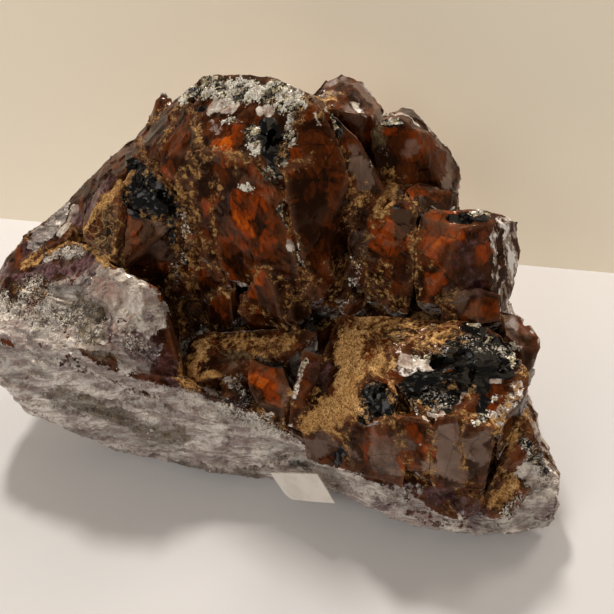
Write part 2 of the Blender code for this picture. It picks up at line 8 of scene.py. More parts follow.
import math
from itertools import chain, product
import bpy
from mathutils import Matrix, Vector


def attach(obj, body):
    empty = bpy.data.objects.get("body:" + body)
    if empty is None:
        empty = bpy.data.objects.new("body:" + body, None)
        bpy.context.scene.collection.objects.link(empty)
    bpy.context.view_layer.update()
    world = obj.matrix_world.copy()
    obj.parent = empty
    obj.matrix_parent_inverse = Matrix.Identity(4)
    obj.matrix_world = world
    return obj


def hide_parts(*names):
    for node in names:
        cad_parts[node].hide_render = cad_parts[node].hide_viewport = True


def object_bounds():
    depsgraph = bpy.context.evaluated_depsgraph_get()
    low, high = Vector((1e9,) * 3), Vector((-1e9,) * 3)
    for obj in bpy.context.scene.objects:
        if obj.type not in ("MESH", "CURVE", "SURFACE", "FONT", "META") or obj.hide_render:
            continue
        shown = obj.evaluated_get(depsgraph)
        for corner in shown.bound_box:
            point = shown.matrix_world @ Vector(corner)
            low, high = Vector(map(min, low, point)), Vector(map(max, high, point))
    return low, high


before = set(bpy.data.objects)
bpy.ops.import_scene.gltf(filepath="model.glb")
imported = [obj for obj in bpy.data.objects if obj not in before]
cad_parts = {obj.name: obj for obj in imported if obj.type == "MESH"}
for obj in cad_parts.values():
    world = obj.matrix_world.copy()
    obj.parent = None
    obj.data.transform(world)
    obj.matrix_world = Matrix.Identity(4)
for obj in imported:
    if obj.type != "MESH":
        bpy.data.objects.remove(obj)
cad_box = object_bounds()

from types import SimpleNamespace

import bmesh
import bpy
import numpy as np
from mathutils import Matrix, Vector, kdtree
from mathutils.bvhtree import BVHTree

MM = 0.001

# Camera: where it stands, its own axes, and what its view measures
CAMERA_AT = Vector((0.065, -0.100, 0.1606))
CAMERA_RIGHT = Vector((0.92669, 0.32487, -0.18895))
CAMERA_UP = Vector((-0.12090, 0.73373, 0.66860))
CAMERA_BACK = Vector((0.35584, -0.59674, 0.71922))
SENSOR = 36.0
LENS = 33.48
VIEW_SIZE = 614  # pixels
FOCAL = LENS / SENSOR * VIEW_SIZE  # pixels
NEAREST_SEEN = 0.005

# Mesh fineness, as edge lengths in mm
FINE_EDGE = 1.03
COARSE_EDGE = 2.4
SLIP_EDGE = 0.6
TOO_LONG = 1.35  # an edge is halved when it is this many times as long as it may be

# Edges of the solid and of the finished meshes
FLAT_ANGLE = math.radians(1)  # faces that meet at less than this are one flat face
WORN_ANGLE = math.radians(24)  # sharper edges wear, and sharper creases gather crust
WORN_SPACING = 0.7  # mm between the points that stand for such an edge
SHARP_ANGLE = math.radians(27)  # edges sharper than this are shaded sharp
PAPER_ANGLE = math.radians(40)

# Relief of the surface, in mm
RELIEF_SINK = 0.35  # keeps the relief inside the solid's box
PLATE_SIZE = 5.0  # crystal faces are made of plates about this wide
FIBRE_FRAME = np.array([[0.22, 0.0, 0.18], [0.0, 1.0, 0.0], [-0.04, 0.0, 1.0]])  # squeezed along the fibres
FIBRE_SLOPE = math.atan(0.18)

# How each kind of mark spreads: how much wider than drawn, how soft its border is and how ragged
SPREAD = {
    "ochre": (1.35, 0.75, 0.45), "veins": (1.25, 0.6, 0.35), "red": (1.1, 0.5, 0.18),
    "black": (1.2, 0.15, 0.18), "frost": (1.0, 0.4, 0.35), "milky": (1.0, 0.3, 0.3), "grey": (1.0, 0.2, 0.18),
    "dark": (1.0, 0.5, 0.18), "violet": (1.0, 0.4, 0.18), "rock": (1.15, 0.3, 0.35),
    "glitter": (1.0, 0.5, 0.4), "olive": (1.3, 0.3, 0.18), "streaked": (1.0, 0.3, 0.18),
}
PLATE_KINDS = ("red", "grey", "violet", "olive")  # these colour whole plates

# Rims between crystals and bare rock, in mm: how high in front, and how far back behind the crest
FRONT_RIM_X = (-107, -97, -70, -48, -36, -24, -8, 10, 26, 42, 54, 63, 70, 80)
FRONT_RIM_Z = (36, 41, 42, 41, 35, 31, 27, 21, 17, 15, 12, 11, 12, 12)
BACK_RIM_X = (-107, -83, -58, -36, -8, 26, 54, 70, 80)
BACK_RIM_Y = (-3, 13, 24, 37, 45, 46, 30, -7, -22)

GRAIN_COUNT = 7500
GRAIN_SIZE = 0.62  # mm
GRAIN_SINK = 0.1  # mm
GRAIN_SEED = 11

# The slip: its long and short directions, and how far its paper is bent, in mm
SLIP_LONG = (15.5, 0.0, 6.5)
SLIP_SHORT = (4.65, -2.97, -8.31)
SLIP_BEND = 0.22

WARM_SHEEN = (0.70, 0.44, 0.27, 1.0)  # iron under the surface tints what it mirrors
WHITE = (1.0, 1.0, 1.0, 1.0)
QUARTZ_IOR = 1.54

# Stage, in metres
FLOOR_REACH = 1.5
WALL_Y = 0.0675
WALL_HEIGHT = 0.6
LAMPS_AIM = (0, 0, 0.03)

# Light from all around
ROOM_COLOUR = (0.76, 0.71, 0.66, 1)
ROOM_GLOW = 0.24

# What covers the stone where, by kind and place, as it is seen from the camera. A mark is how strong it is,
# its radius and the points that it runs through, in pixels from the view's upper left corner.
MARKS = {}
MARKS["ochre"] = {
    "left crystals": [
        (0.9, 3.2, (134, 170), (120, 184), (108, 197), (98, 208)),
        (0.9, 2.6, (98, 208), (90, 222), (84, 234), (76, 240)),
        (0.9, 3, (34, 262), (46, 255), (58, 247), (72, 241), (82, 243)), (0.6, 6, (25, 262), (34, 258)),
        (0.8, 3, (82, 245), (98, 256), (112, 265)), (0.6, 2.4, (120, 222), (116, 240), (112, 260)),
    ],
    "left of the dome": [
        (0.35, 7, (186, 212), (189, 236), (192, 258)), (0.55, 5, (182, 178), (178, 196)),
    ],
    "amber crystal": [
        (0.6, 6, (530, 416), (517, 432), (510, 444)), (0.8, 4.5, (494, 500), (510, 488), (516, 482)),
    ],
    "dome, left side": [
        (0.35, 8, (206, 178), (216, 190)),
        (0.4, 5, (190, 204), (185, 226), (190, 246), (196, 262), (190, 277), (193, 291)),
    ],
    "right of the dome": [(0.6, 4, (366, 188), (362, 200))],
    "foot of the dome": [
        (1, 2.2, (201, 303), (212, 295), (222, 290), (230, 297)), (0.35, 7, (240, 308), (262, 310)),
        (0.5, 4, (203, 318), (206, 330)),
    ],
    "back crystal": [(0.5, 8, (319, 99), (332, 93))],
    "below the round crystal": [
        (1, 7, (386, 184), (388, 196), (381, 208)), (0.6, 5, (374, 166), (388, 174)),
    ],
    "orange crystal": [(0.35, 9, (384, 270), (388, 290))],
    "long crystal": [(0.35, 6, (425, 258), (418, 262))],
    "low slab": [(0.5, 6, (440, 304), (452, 308))],
    "crusted top": [
        (0.55, 15, (365, 326), (400, 322), (425, 318)),
        (1, 14, (350, 342), (352, 372), (342, 398), (330, 414)), (1, 8, (314, 418), (306, 424)),
        (0.8, 11, (374, 352), (380, 366)), (1, 6, (364, 318), (376, 316)),
        (0.5, 8, (420, 340), (444, 344), (455, 336)), (0.5, 5, (430, 316), (455, 322)),
    ],
    "black chunk": [(0.8, 3, (390, 380), (396, 393))],
    "ledge": [
        (1, 9, (200, 347), (195, 364), (190, 384)), (0.6, 7, (224, 342), (254, 341), (280, 341)),
        (0.8, 3.4, (204, 374), (218, 378)), (0.7, 7, (262, 348), (286, 342)),
    ],
}
MARKS["veins"] = {
    "left crystals": [
        (1, 14, (106, 205), (108, 225), (96, 245), (108, 254)), (1, 8, (86, 236), (78, 238)),
    ],
    "crusted top": [
        (1, 15, (372, 330), (410, 328), (440, 336)), (1, 10, (350, 322), (380, 324)),
        (1, 10, (430, 322), (452, 332), (436, 342)),
    ],
    "ledge": [(1, 8, (224, 344), (254, 344), (282, 344))],
}
# Red marks: the iron stain's red, and partly a painted glow where light passes through the crystal.
MARKS["red"] = {
    "left crystals": [(0.5, 12, (100, 196), (116, 212)), (0.5, 7, (130, 219), (133, 236))],
    "left of the dome": [(0.45, 9, (162, 178), (158, 190))],
    "milky block": [(0.7, 4.5, (142, 284), (154, 294), (158, 308))],
    "dark side of the shoulder": [
        (0.25, 10, (155, 325), (168, 352), (172, 376)), (1, 3, (165, 372), (167, 378)),
    ],
    "amber crystal": [(0.5, 6, (534, 430), (528, 424)), (0.75, 8, (517, 460), (510, 470))],
    "far crystal": [(0.5, 5, (518, 328), (526, 334))],
    "dome, left side": [
        (0.45, 6, (170, 112), (190, 108)), (0.9, 8, (212, 144), (234, 136)),
        (0.8, 6, (228, 160), (224, 172)), (0.7, 5, (186, 134), (188, 150)),
        (0.8, 6, (216, 198), (210, 218), (204, 228)), (0.65, 8, (202, 238), (216, 250), (232, 236)),
        (0.5, 7, (232, 250), (248, 246)),
    ],
    "dome, front": [
        (0.7, 9, (247, 164), (255, 174)), (0.6, 5, (268, 184), (278, 194)),
        (1, 4.4, (235, 194), (226, 208)), (0.85, 9, (270, 204), (276, 226), (286, 248)),
        (0.6, 9, (246, 204), (248, 222)), (0.6, 7, (272, 244), (264, 252)),
        (0.9, 5, (252, 214), (244, 228)),
    ],
    "dome, right face": [
        (0.6, 4, (291, 138), (293, 165), (291, 190)), (1, 4.4, (288, 200), (289, 209)),
        (0.5, 6, (304, 110), (318, 122)), (0.5, 5, (336, 160), (338, 200), (332, 225)),
    ],
    "right of the dome": [
        (1, 5.5, (344, 134), (348, 150)), (0.85, 5, (349, 162), (354, 186)),
        (0.5, 5, (352, 205), (346, 216)),
    ],
    "foot of the dome": [
        (0.9, 6, (220, 297), (214, 304)), (0.85, 8, (257, 270), (255, 284), (250, 298)),
        (0.4, 8, (310, 274), (300, 290)),
    ],
    "back crystal": [(0.35, 6, (345, 95), (360, 98))],
    "round crystal": [
        (0.4, 4, (398, 106), (412, 108)), (0.9, 6, (389, 130), (384, 139)),
        (0.4, 5, (428, 142), (432, 165)),
    ],
    "step crystal": [(0.5, 9, (424, 192), (440, 194)), (1, 5.5, (416, 193), (410, 208))],
    "orange crystal": [
        (1, 11, (386, 218), (381, 232), (374, 240)), (0.6, 8, (386, 256), (380, 262)),
        (0.5, 5, (370, 284), (366, 278)),
    ],
    "long crystal": [
        (0.8, 14, (430, 222), (426, 244), (444, 236)), (1, 6, (455, 224), (458, 238)),
        (0.9, 3.4, (456, 246), (445, 262), (433, 284), (424, 298)), (1, 3, (472, 232), (478, 250)),
        (1, 3, (486, 234), (487, 256)),
    ],
    "glassy end": [(0.6, 4, (503, 238), (508, 244)), (0.5, 3, (497, 245), (500, 262))],
    "low slab": [(0.5, 6, (465, 314), (482, 314)), (0.9, 5, (489, 310), (489, 322))],
    "crusted top": [(1, 4, (409, 326), (415, 328))],
    "front faces": [
        (0.5, 12, (372, 438), (392, 446)), (1, 4, (400, 426)), (0.8, 5, (414, 430), (408, 436)),
        (0.9, 5, (342, 462), (344, 470)), (0.8, 6, (400, 468), (406, 462)),
        (0.6, 4, (424, 454), (430, 450)), (0.6, 6, (340, 432), (344, 446)),
    ],
    "grey end": [(0.9, 3, (462, 402), (462, 424), (466, 440)), (0.55, 5, (475, 396), (474, 408))],
    "ledge": [
        (0.9, 5, (300, 346), (309, 341), (292, 352)), (0.5, 4, (208, 366), (216, 362)),
        (0.9, 10, (256, 371), (268, 384), (275, 393)),
    ],
    "bright prism": [(0.9, 4, (313, 360), (320, 360)), (0.6, 4, (303, 398), (306, 406))],
}
MARKS["black"] = {
    "left crystals": [
        (1, 15, (140, 182), (150, 195), (164, 206)), (1, 9, (130, 198), (138, 208), (171, 214)),
        (1, 6, (138, 174), (130, 186)), (1, 7, (133, 164), (142, 173)), (0.9, 5, (166, 222), (172, 240)),
    ],
    "amber crystal": [(1, 4, (520, 443), (529, 449))],
    "dome cap": [
        (1, 3, (256, 98), (284, 99)), (1, 11, (264, 126), (273, 140), (273, 156)),
        (1, 5, (270, 166), (276, 174)), (0.9, 4, (204, 83), (192, 95), (184, 102)),
        (0.8, 3, (204, 106), (196, 112)),
    ],
    "right of the dome": [(1, 4, (333, 116), (341, 132))],
    "round crystal": [(1, 4, (386, 122), (396, 125))],
    "step crystal": [(1, 4, (405, 195)), (0.9, 3, (396, 208))],
    "long crystal": [(1, 6, (452, 217), (468, 219), (482, 217))],
    "broken head": [
        (0.8, 5, (450, 346), (456, 350)), (1, 15, (470, 348), (490, 348), (506, 354)),
        (1, 10, (462, 366), (484, 366), (504, 368)), (1, 7, (470, 326), (480, 330)),
        (1, 9, (440, 362), (452, 356)), (1, 8, (404, 386), (430, 384), (462, 382), (484, 386)),
        (1, 9, (412, 396), (436, 394), (452, 392)), (0.9, 8, (432, 404), (448, 404)),
    ],
    "black chunk": [(1, 12, (376, 394), (386, 404), (368, 408))],
    "front faces": [(0.9, 4, (338, 452), (336, 464)), (0.9, 3.4, (409, 424))],
    "grey end": [(1, 6, (487, 402), (486, 410))],
    "ledge": [(1, 5, (264, 359), (280, 364), (287, 371))],
}
MARKS["frost"] = {
    "left crystals": [(0.9, 1.6, (141, 176), (151, 188), (162, 201), (178, 212))],
    "left shoulder": [(0.4, 12, (-30, 300), (10, 306), (44, 320))],
    "right lump": [(0.5, 8, (536, 455), (545, 472))],
    "dome cap": [
        (1, 14, (206, 86), (232, 88), (262, 90), (290, 98)), (1, 7, (196, 92), (182, 101)),
        (1, 7, (302, 102), (296, 92)), (0.9, 8, (250, 128), (254, 148)),
        (0.9, 6, (293, 112), (289, 132), (286, 150), (284, 162)),
        (0.9, 4, (268, 172), (278, 184), (284, 196)), (0.9, 5, (226, 122), (238, 124)),
    ],
    "dome, front": [
        (1, 2.6, (240, 187), (254, 189)), (0.9, 2, (279, 201), (284, 214), (290, 228), (297, 243)),
        (1, 2.4, (297, 243), (303, 264)),
    ],
    "right of the dome": [(0.9, 4, (328, 113), (335, 124)), (0.8, 3, (357, 136))],
    "round crystal": [(0.9, 4, (384, 120), (398, 123))],
    "long crystal": [(0.8, 3.5, (464, 212), (480, 211), (489, 214))],
    "broken head": [
        (0.9, 2.2, (402, 388), (412, 402), (424, 415)), (0.9, 4, (412, 354), (428, 356)),
        (0.8, 3, (466, 326), (480, 324), (476, 334)), (0.9, 3, (476, 350), (486, 344), (492, 336)),
        (0.8, 4, (512, 346), (512, 364)), (0.9, 2.2, (460, 346), (450, 348)),
    ],
    "grey end": [(0.9, 4.5, (477, 422), (488, 419)), (0.5, 4, (498, 395), (493, 412))],
    "ledge": [(0.8, 2.8, (282, 363), (288, 368))],
    # painted highlight on the prism
    "bright prism": [(1, 2.2, (306, 361), (301, 374))],
}
MARKS["milky"] = {
    # the left crystals' milky marks are painted highlights on the black crystal
    "left crystals": [(1, 3.6, (165, 214), (169, 210)), (0.8, 2, (182, 208))],
    "behind the left ridge": [(1, 7, (73, 210), (70, 220), (60, 233))],
    "left shoulder": [
        (1, 5, (86, 273), (100, 266)), (0.9, 2.6, (28, 294), (42, 290), (58, 285), (76, 280)),
        (0.8, 3.5, (62, 334), (80, 345), (100, 346), (116, 346)),
    ],
    "milky block": [
        (1, 15, (100, 280), (96, 290), (118, 284), (136, 290)),
        (1, 13, (112, 304), (130, 310), (145, 300)), (1, 5, (113, 318), (113, 332), (122, 330)),
    ],
    "front wall": [
        (0.45, 7, (56, 362), (90, 374), (124, 388), (154, 398)), (1, 4, (258, 431), (266, 427)),
        (0.9, 2, (231, 432)), (0.9, 2, (251, 415)), (0.9, 2.2, (268, 418), (276, 416)),
        (0.9, 2.2, (284, 424), (294, 425)),
    ],
    "by the slip": [(0.9, 3, (280, 466), (286, 461))],
    "right front": [
        (0.9, 2, (343, 503)), (0.9, 2, (358, 504)), (1, 2.4, (370, 516), (375, 517)),
        (1, 2.6, (383, 518), (389, 520)), (0.9, 2, (400, 521)),
        (0.5, 9, (412, 514), (440, 524), (464, 530)),
    ],
    # painted highlight on a bright corner
    "foot": [(1, 2.6, (463, 510), (467, 525))],
    "amber crystal": [(0.7, 3.4, (523, 470), (512, 481))],
    "far crystal": [(0.8, 2.5, (532, 332), (538, 338), (534, 356))],
    "dome cap": [(0.9, 8, (213, 106), (232, 107)), (0.8, 5, (257, 110), (270, 107)), (0.8, 5, (252, 84))],
    "dome, left side": [(0.5, 6, (212, 122), (219, 131))],
    "dome, front": [(0.8, 4, (290, 243), (292, 250))],
    "dome, right face": [(0.6, 2.6, (316, 112), (321, 124))],
    "foot of the dome": [(0.8, 2.4, (228, 276))],
    "back crystal": [(0.55, 8, (319, 98), (332, 91)), (0.6, 5, (358, 106), (366, 113))],
    "round crystal": [(0.65, 5, (374, 117), (395, 113), (416, 121))],
    "long crystal": [(0.7, 1.7, (430, 206), (455, 206), (480, 208))],
    "glassy end": [(0.6, 3, (500, 219), (512, 222))],
    "crusted top": [(0.95, 4, (387, 354), (395, 352))],
    "broken head": [
        (0.9, 6, (484, 378), (496, 380)), (1, 3.4, (462, 386), (466, 392), (460, 398)),
        (1, 4, (430, 415), (446, 414), (452, 409)), (0.9, 3, (454, 370)),
        # the thin mark through (430, 382) is a painted highlight
        (0.9, 8, (400, 358), (416, 363), (430, 368)), (0.8, 2, (430, 382), (418, 376), (404, 368)),
    ],
    "black chunk": [(0.9, 4, (366, 422), (377, 425))],
    "front faces": [(0.9, 2, (424, 447)), (0.9, 2, (396, 476))],
    "ledge": [(0.9, 3, (227, 381), (231, 389)), (0.6, 3, (238, 404))],
}
# Grey marks are a painted sheen: faces that mirror the pale room, given a grey colour.
MARKS["grey"] = {
    "left crystals": [(0.6, 8, (141, 213), (156, 226)), (0.35, 9, (162, 248), (168, 256))],
    "pinkish face above the slip": [(0.9, 12, (304, 444), (316, 452)), (0.6, 12, (330, 440), (345, 448))],
    "far crystal": [(0.8, 7, (506, 322), (516, 330)), (0.5, 7, (526, 345), (524, 354))],
    "dome, left side": [(0.7, 6, (197, 136), (196, 144))],
    "right of the dome": [(0.8, 5, (356, 148), (360, 164), (366, 180)), (0.4, 6, (352, 116), (358, 134))],
    "foot of the dome": [(0.3, 9, (214, 270))],
    "back crystal": [(0.6, 6, (326, 80), (342, 78)), (1, 8, (352, 82), (366, 92), (378, 106))],
    "round crystal": [
        (0.6, 5, (413, 138), (416, 160), (418, 178)), (0.9, 8, (450, 162), (452, 180), (456, 192)),
        (0.6, 5, (430, 130), (445, 146)),
    ],
    "step crystal": [(0.7, 5, (402, 188), (392, 200))],
    "orange crystal": [(0.5, 4, (368, 218), (363, 242), (362, 272))],
    "low slab": [(0.5, 8, (450, 299), (470, 294))],
    "front faces": [(0.6, 14, (374, 440), (394, 448), (380, 466))],
    "grey end": [
        (1, 14, (446, 434), (450, 456), (444, 476)), (1, 10, (476, 440), (478, 460), (480, 474)),
    ],
    "ledge": [(0.45, 6, (286, 390), (284, 408))],
}
# Dark marks are painted shade: near-black where shade falls in hollows and gaps.
MARKS["dark"] = {
    "left crystals": [
        (1, 5, (112, 226), (106, 237)), (0.8, 9, (122, 264), (148, 268), (158, 280)),
        (0.6, 6, (170, 240), (176, 262)),
    ],
    "left shoulder": [
        (0.4, 8, (50, 300), (60, 312), (56, 326)), (0.42, 13, (28, 290), (46, 300), (58, 318)),
    ],
    "front wall": [(0.9, 2.2, (224, 435), (232, 437)), (0.9, 2.2, (238, 442), (258, 445))],
    "by the slip": [(1, 4, (292, 467), (308, 469))],
    "foot": [(0.6, 8, (442, 497), (456, 503))],
    "streaked side": [(0.8, 5, (500, 432), (498, 455), (488, 472))],
    "dome, left side": [
        (0.5, 6, (172, 114), (196, 106)), (0.7, 5, (210, 160), (200, 166)),
        (0.8, 3, (212, 240), (206, 248)),
    ],
    "dome, front": [
        (1, 3, (259, 206), (262, 212)), (1, 4, (264, 226)), (1, 2, (258, 228), (256, 244), (258, 256)),
        (0.9, 3, (226, 214), (232, 220)), (0.8, 2.2, (240, 236), (250, 250), (262, 262)),
        (0.8, 2, (286, 204), (276, 214)),
    ],
    "dome, right face": [(0.15, 12, (308, 190), (315, 215))],
    "right of the dome": [
        (1, 5, (348, 188), (342, 205), (336, 218)), (0.7, 8, (360, 215), (356, 235), (352, 255)),
    ],
    "foot of the dome": [
        (1, 11, (300, 312), (318, 318), (290, 326)), (0.8, 7, (275, 275), (282, 292)),
        (0.7, 8, (212, 328), (240, 330), (265, 328)), (0.8, 12, (174, 304), (190, 322), (190, 345)),
        (0.6, 10, (338, 296), (346, 270)),
    ],
    "round crystal": [(0.5, 9, (398, 140), (396, 165))],
    "below the round crystal": [(0.8, 5, (367, 150), (372, 170))],
    "orange crystal": [(0.6, 4, (406, 250), (408, 272))],
    "long crystal": [(0.35, 12, (466, 262), (478, 276))],
    "low slab": [(1, 9, (412, 296), (421, 289)), (0.9, 4, (484, 304), (492, 306))],
    "front faces": [(0.8, 3, (380, 478), (394, 468), (408, 460)), (0.7, 6, (402, 404), (408, 412))],
    "grey end": [(0.7, 2, (466, 398), (466, 425))],
    "ledge": [(0.5, 7, (206, 392), (222, 394)), (0.6, 9, (236, 386), (256, 404))],
    "bright prism": [(0.7, 7, (318, 372), (320, 392))],
}
MARKS["violet"] = {
    "behind the left ridge": [
        (0.8, 9, (110, 176), (96, 194), (86, 208), (76, 218)), (0.5, 9, (32, 240), (46, 230)),
    ],
    "left shoulder": [
        (1, 9, (26, 276), (50, 271), (76, 268), (98, 262)), (0.8, 8, (-25, 270), (0, 272), (26, 276)),
    ],
    "milky block": [
        (0.5, 10, (130, 334), (145, 345)), (0.8, 5, (110, 312), (109, 334)),
        (0.6, 6, (150, 300), (146, 314)), (1, 10, (130, 342), (146, 352), (162, 366)),
        (0.9, 7, (170, 372), (178, 384)),
    ],
    "dark side of the shoulder": [(0.6, 9, (155, 330), (166, 352), (172, 376), (182, 390))],
    "front wall": [(0.5, 8, (226, 444), (250, 452))],
    "right front": [(0.7, 6, (376, 508), (398, 512))],
    "foot": [
        (1, 9, (440, 495), (455, 503)), (0.8, 6, (476, 508), (478, 516)),
        (0.5, 8, (396, 488), (410, 492)),
    ],
    "right lump": [(0.5, 10, (540, 505), (546, 515))],
    "dome cap": [(1, 3, (196, 122), (201, 118))],
    "long crystal": [(0.45, 12, (470, 242), (466, 266), (476, 280))],
    "bright prism": [(0.5, 7, (318, 372), (324, 385))],
    "ledge": [(0.7, 7, (234, 402), (246, 408))],
}
MARKS["rock"] = {
    "behind the left ridge": [(1, 10, (34, 240), (50, 228), (62, 210))],
    "left shoulder": [
        (0.8, 5, (44, 261), (60, 254), (82, 251)), (1, 12, (24, 310), (44, 326), (66, 346)),
        (1, 22, (-40, 320), (-5, 320), (30, 325)),
    ],
    "milky block": [
        (1, 14, (128, 336), (142, 346), (134, 360)),
        (1, 17, (92, 284), (116, 290), (134, 300), (148, 318)),
        (1, 13, (60, 296), (74, 308), (84, 322), (100, 338)),
        (1, 9, (78, 290), (90, 300), (110, 320), (122, 346)),
    ],
    "front wall": [
        (1, 24, (24, 365), (60, 375), (110, 395), (160, 415), (210, 430), (250, 448)),
        (1, 18, (24, 395), (70, 405), (120, 425), (170, 450), (220, 462), (260, 470)),
    ],
    "right front": [
        (1, 11, (322, 470), (350, 484), (384, 496), (412, 508)),
        (1, 9, (300, 502), (340, 510), (372, 516), (404, 522)), (0.9, 8, (480, 532), (505, 528)),
    ],
    "right lump": [(1, 15, (532, 505), (545, 488), (538, 470)), (1, 10, (510, 518), (540, 524))],
    "foot": [(0.6, 7, (396, 488), (420, 488))],
}
MARKS["glitter"] = {
    "left shoulder": [
        (1, 6, (44, 260), (60, 253), (82, 250)), (0.7, 10, (26, 306), (46, 318), (60, 336)),
        (1, 12, (-20, 300), (10, 306)), (0.9, 12, (30, 286), (48, 300), (60, 322)),
    ],
    "milky block": [
        (1, 9, (130, 332), (142, 346)), (0.5, 8, (74, 306), (90, 318), (96, 330)),
        (0.35, 9, (128, 344), (148, 358)),
    ],
    "front wall": [
        (1, 8, (226, 410), (246, 420), (270, 426), (288, 434)), (0.6, 8, (186, 400), (210, 410)),
    ],
    "right front": [(0.8, 7, (350, 484), (384, 496), (410, 508))],
    "right lump": [(1, 9, (536, 452), (546, 470), (552, 492)), (0.8, 9, (520, 500), (506, 512))],
    "amber crystal": [(1, 5, (520, 443), (529, 449))],
    "broken head": [
        (0.6, 7, (466, 340), (484, 344), (500, 352)), (0.8, 7, (440, 402), (452, 398), (430, 396)),
    ],
    "ledge": [(0.8, 8, (238, 384), (246, 400))],
    "left of the dome": [(0.4, 5, (181, 212), (186, 238), (183, 262)), (0.5, 4, (174, 266), (176, 292))],
    "right of the dome": [(0.5, 5, (352, 262), (350, 290), (342, 314))],
    "below the round crystal": [(0.5, 4, (382, 150), (372, 168))],
}
MARKS["olive"] = {
    "milky block": [
        (1, 9, (74, 304), (86, 310), (98, 318)), (1, 9, (76, 320), (98, 330)),
        (0.9, 6, (84, 343), (96, 345)),
    ],
    "front wall": [
        (0.8, 3.5, (88, 352), (106, 358)), (0.7, 9, (60, 395), (100, 410), (140, 432), (180, 440)),
        (0.6, 7, (170, 462), (215, 470), (250, 474)),
    ],
    "round crystal": [(0.8, 7, (372, 130), (375, 145))],
    "crusted top": [(0.6, 8, (374, 334), (390, 332))],
    "ledge": [(0.8, 6, (236, 353), (256, 352))],
    "left crystals": [(0.55, 13, (108, 206), (108, 226), (102, 244))],
}
# Streaked marks: dark glass with bright streaks that are painted highlights and painted backlight.
MARKS["streaked"] = {
    "streaked side": [(0.9, 7, (524, 368), (514, 390), (504, 414), (497, 436))],
    "glassy end": [
        (1, 8, (500, 222), (511, 226), (514, 250), (512, 276), (507, 300)),
        (0.9, 4, (496, 232), (496, 262), (495, 290)),
    ],
    "broken head": [(0.8, 5, (392, 364), (408, 372), (424, 376))],
    "bright prism": [(1, 5, (305, 362), (300, 376), (295, 393))],
}


# ---------------------------------------------------------------- repeatable noise over points, in mm

def hashed(cells, salt):
    """A repeatable random number in 0 to 1 for each row of three whole numbers."""
    mixed = (cells * np.array([73856093, 19349663, 83492791])).sum(axis=1) + salt * 668265263
    for shift, factor in ((15, 2246822519), (13, 3266489917), (16, 1)):
        mixed = (mixed ^ (mixed >> shift)) * factor
    return (mixed & 0xFFFFFF) / float(0x1000000)


def hashed_three(cells, salt):
    return np.stack([hashed(cells, salt + k) for k in range(3)], axis=1)


def noise(places, size, salt=0):
    """Smooth noise in -1 to 1 whose lumps are about this size."""
    scaled = places / size
    base = np.floor(scaled).astype(np.int64)
    part = scaled - base
    part = part * part * (3 - 2 * part)
    total = np.zeros(len(places))
    for corner in product((0, 1), repeat=3):
        weight = np.prod(np.where(np.array(corner, bool), part, 1 - part), axis=1)
        total += weight * hashed(base + np.array(corner), salt)
    return 2 * total - 1


def rough_noise(places, size, salt=0, octaves=4):
    return sum(noise(places, size / 2**k, salt + k) / 2**k for k in range(octaves))


def shade(places, size, salt):
    """Broad noise about 0.5, for tones that change slowly."""
    return 0.5 + 0.3 * rough_noise(places, size, salt, 3)


def pushed_about(places, size, amount, salt):
    """The places, moved by smooth noise, so that borders drawn from them wander."""
    push = [rough_noise(places, size, salt + 20 * k, 3) for k in range(3)]
    return places + amount * np.stack(push, axis=1)


def cells(places, size, salt):
    """The random cell that each place is in: its tilted face's height, distance to its border, its own number
    and the middle of the places in it."""
    scaled = places / size
    base = np.floor(scaled).astype(np.int64)
    nearest = np.full(len(places), 9.0)
    second = nearest.copy()
    height = np.zeros(len(places))
    number = np.zeros(len(places))
    for shift in product((-1, 0, 1), repeat=3):
        cell = base + np.array(shift)
        away = scaled - (cell + hashed_three(cell, salt))
        distance = np.linalg.norm(away, axis=1)
        closer = distance < nearest
        second = np.where(closer, nearest, np.minimum(second, distance))
        nearest = np.where(closer, distance, nearest)
        tilt = hashed_three(cell, salt + 3) * 2 - 1
        height = np.where(closer, (away * tilt).sum(axis=1), height)
        number = np.where(closer, hashed(cell, salt + 6), number)
    _, member, count = np.unique(number, return_inverse=True, return_counts=True)
    middle = np.stack([np.bincount(member, weights=places[:, k]) / count for k in range(3)], axis=1)[member]
    return height, second - nearest, number, middle


def step(low, high, values):
    """0 at low, 1 at high, smooth between and level past them. Low may be the greater of the two."""
    part = np.clip((values - low) / (high - low), 0, 1)
    return part * part * (3 - 2 * part)


# ---------------------------------------------------------------- laying the marks onto the stone

def place_seen(tree, across, down):
    """Where the stone is seen at this pixel, or at the nearest pixel round it that shows the stone."""
    for ring in range(60):
        for turn in range(0, 360, 20):
            right = across + 0.5 * ring * math.cos(math.radians(turn)) - VIEW_SIZE / 2
            up = VIEW_SIZE / 2 - down - 0.5 * ring * math.sin(math.radians(turn))
            place = tree.ray_cast(CAMERA_AT, CAMERA_RIGHT * right + CAMERA_UP * up - CAMERA_BACK * FOCAL)[0]
            if place:
                return place
    raise ValueError(f"no stone is seen near {across}, {down}")


def marks_on(node):
    """The marks laid onto the node's surface: strength, radius and path, in mm."""
    tree = BVHTree.FromPolygons([v.co for v in node.data.vertices], [f.vertices for f in node.data.polygons])
    laid = {}
    for kind, places in MARKS.items():
        laid[kind] = []
        for level, radius, *pixels in chain(*places.values()):
            path = [place_seen(tree, *pixel) for pixel in pixels]
            depth = np.mean([(CAMERA_AT - place).dot(CAMERA_BACK) for place in path])
            laid[kind].append((level, radius * depth / FOCAL / MM, np.array(path) / MM))
    return laid


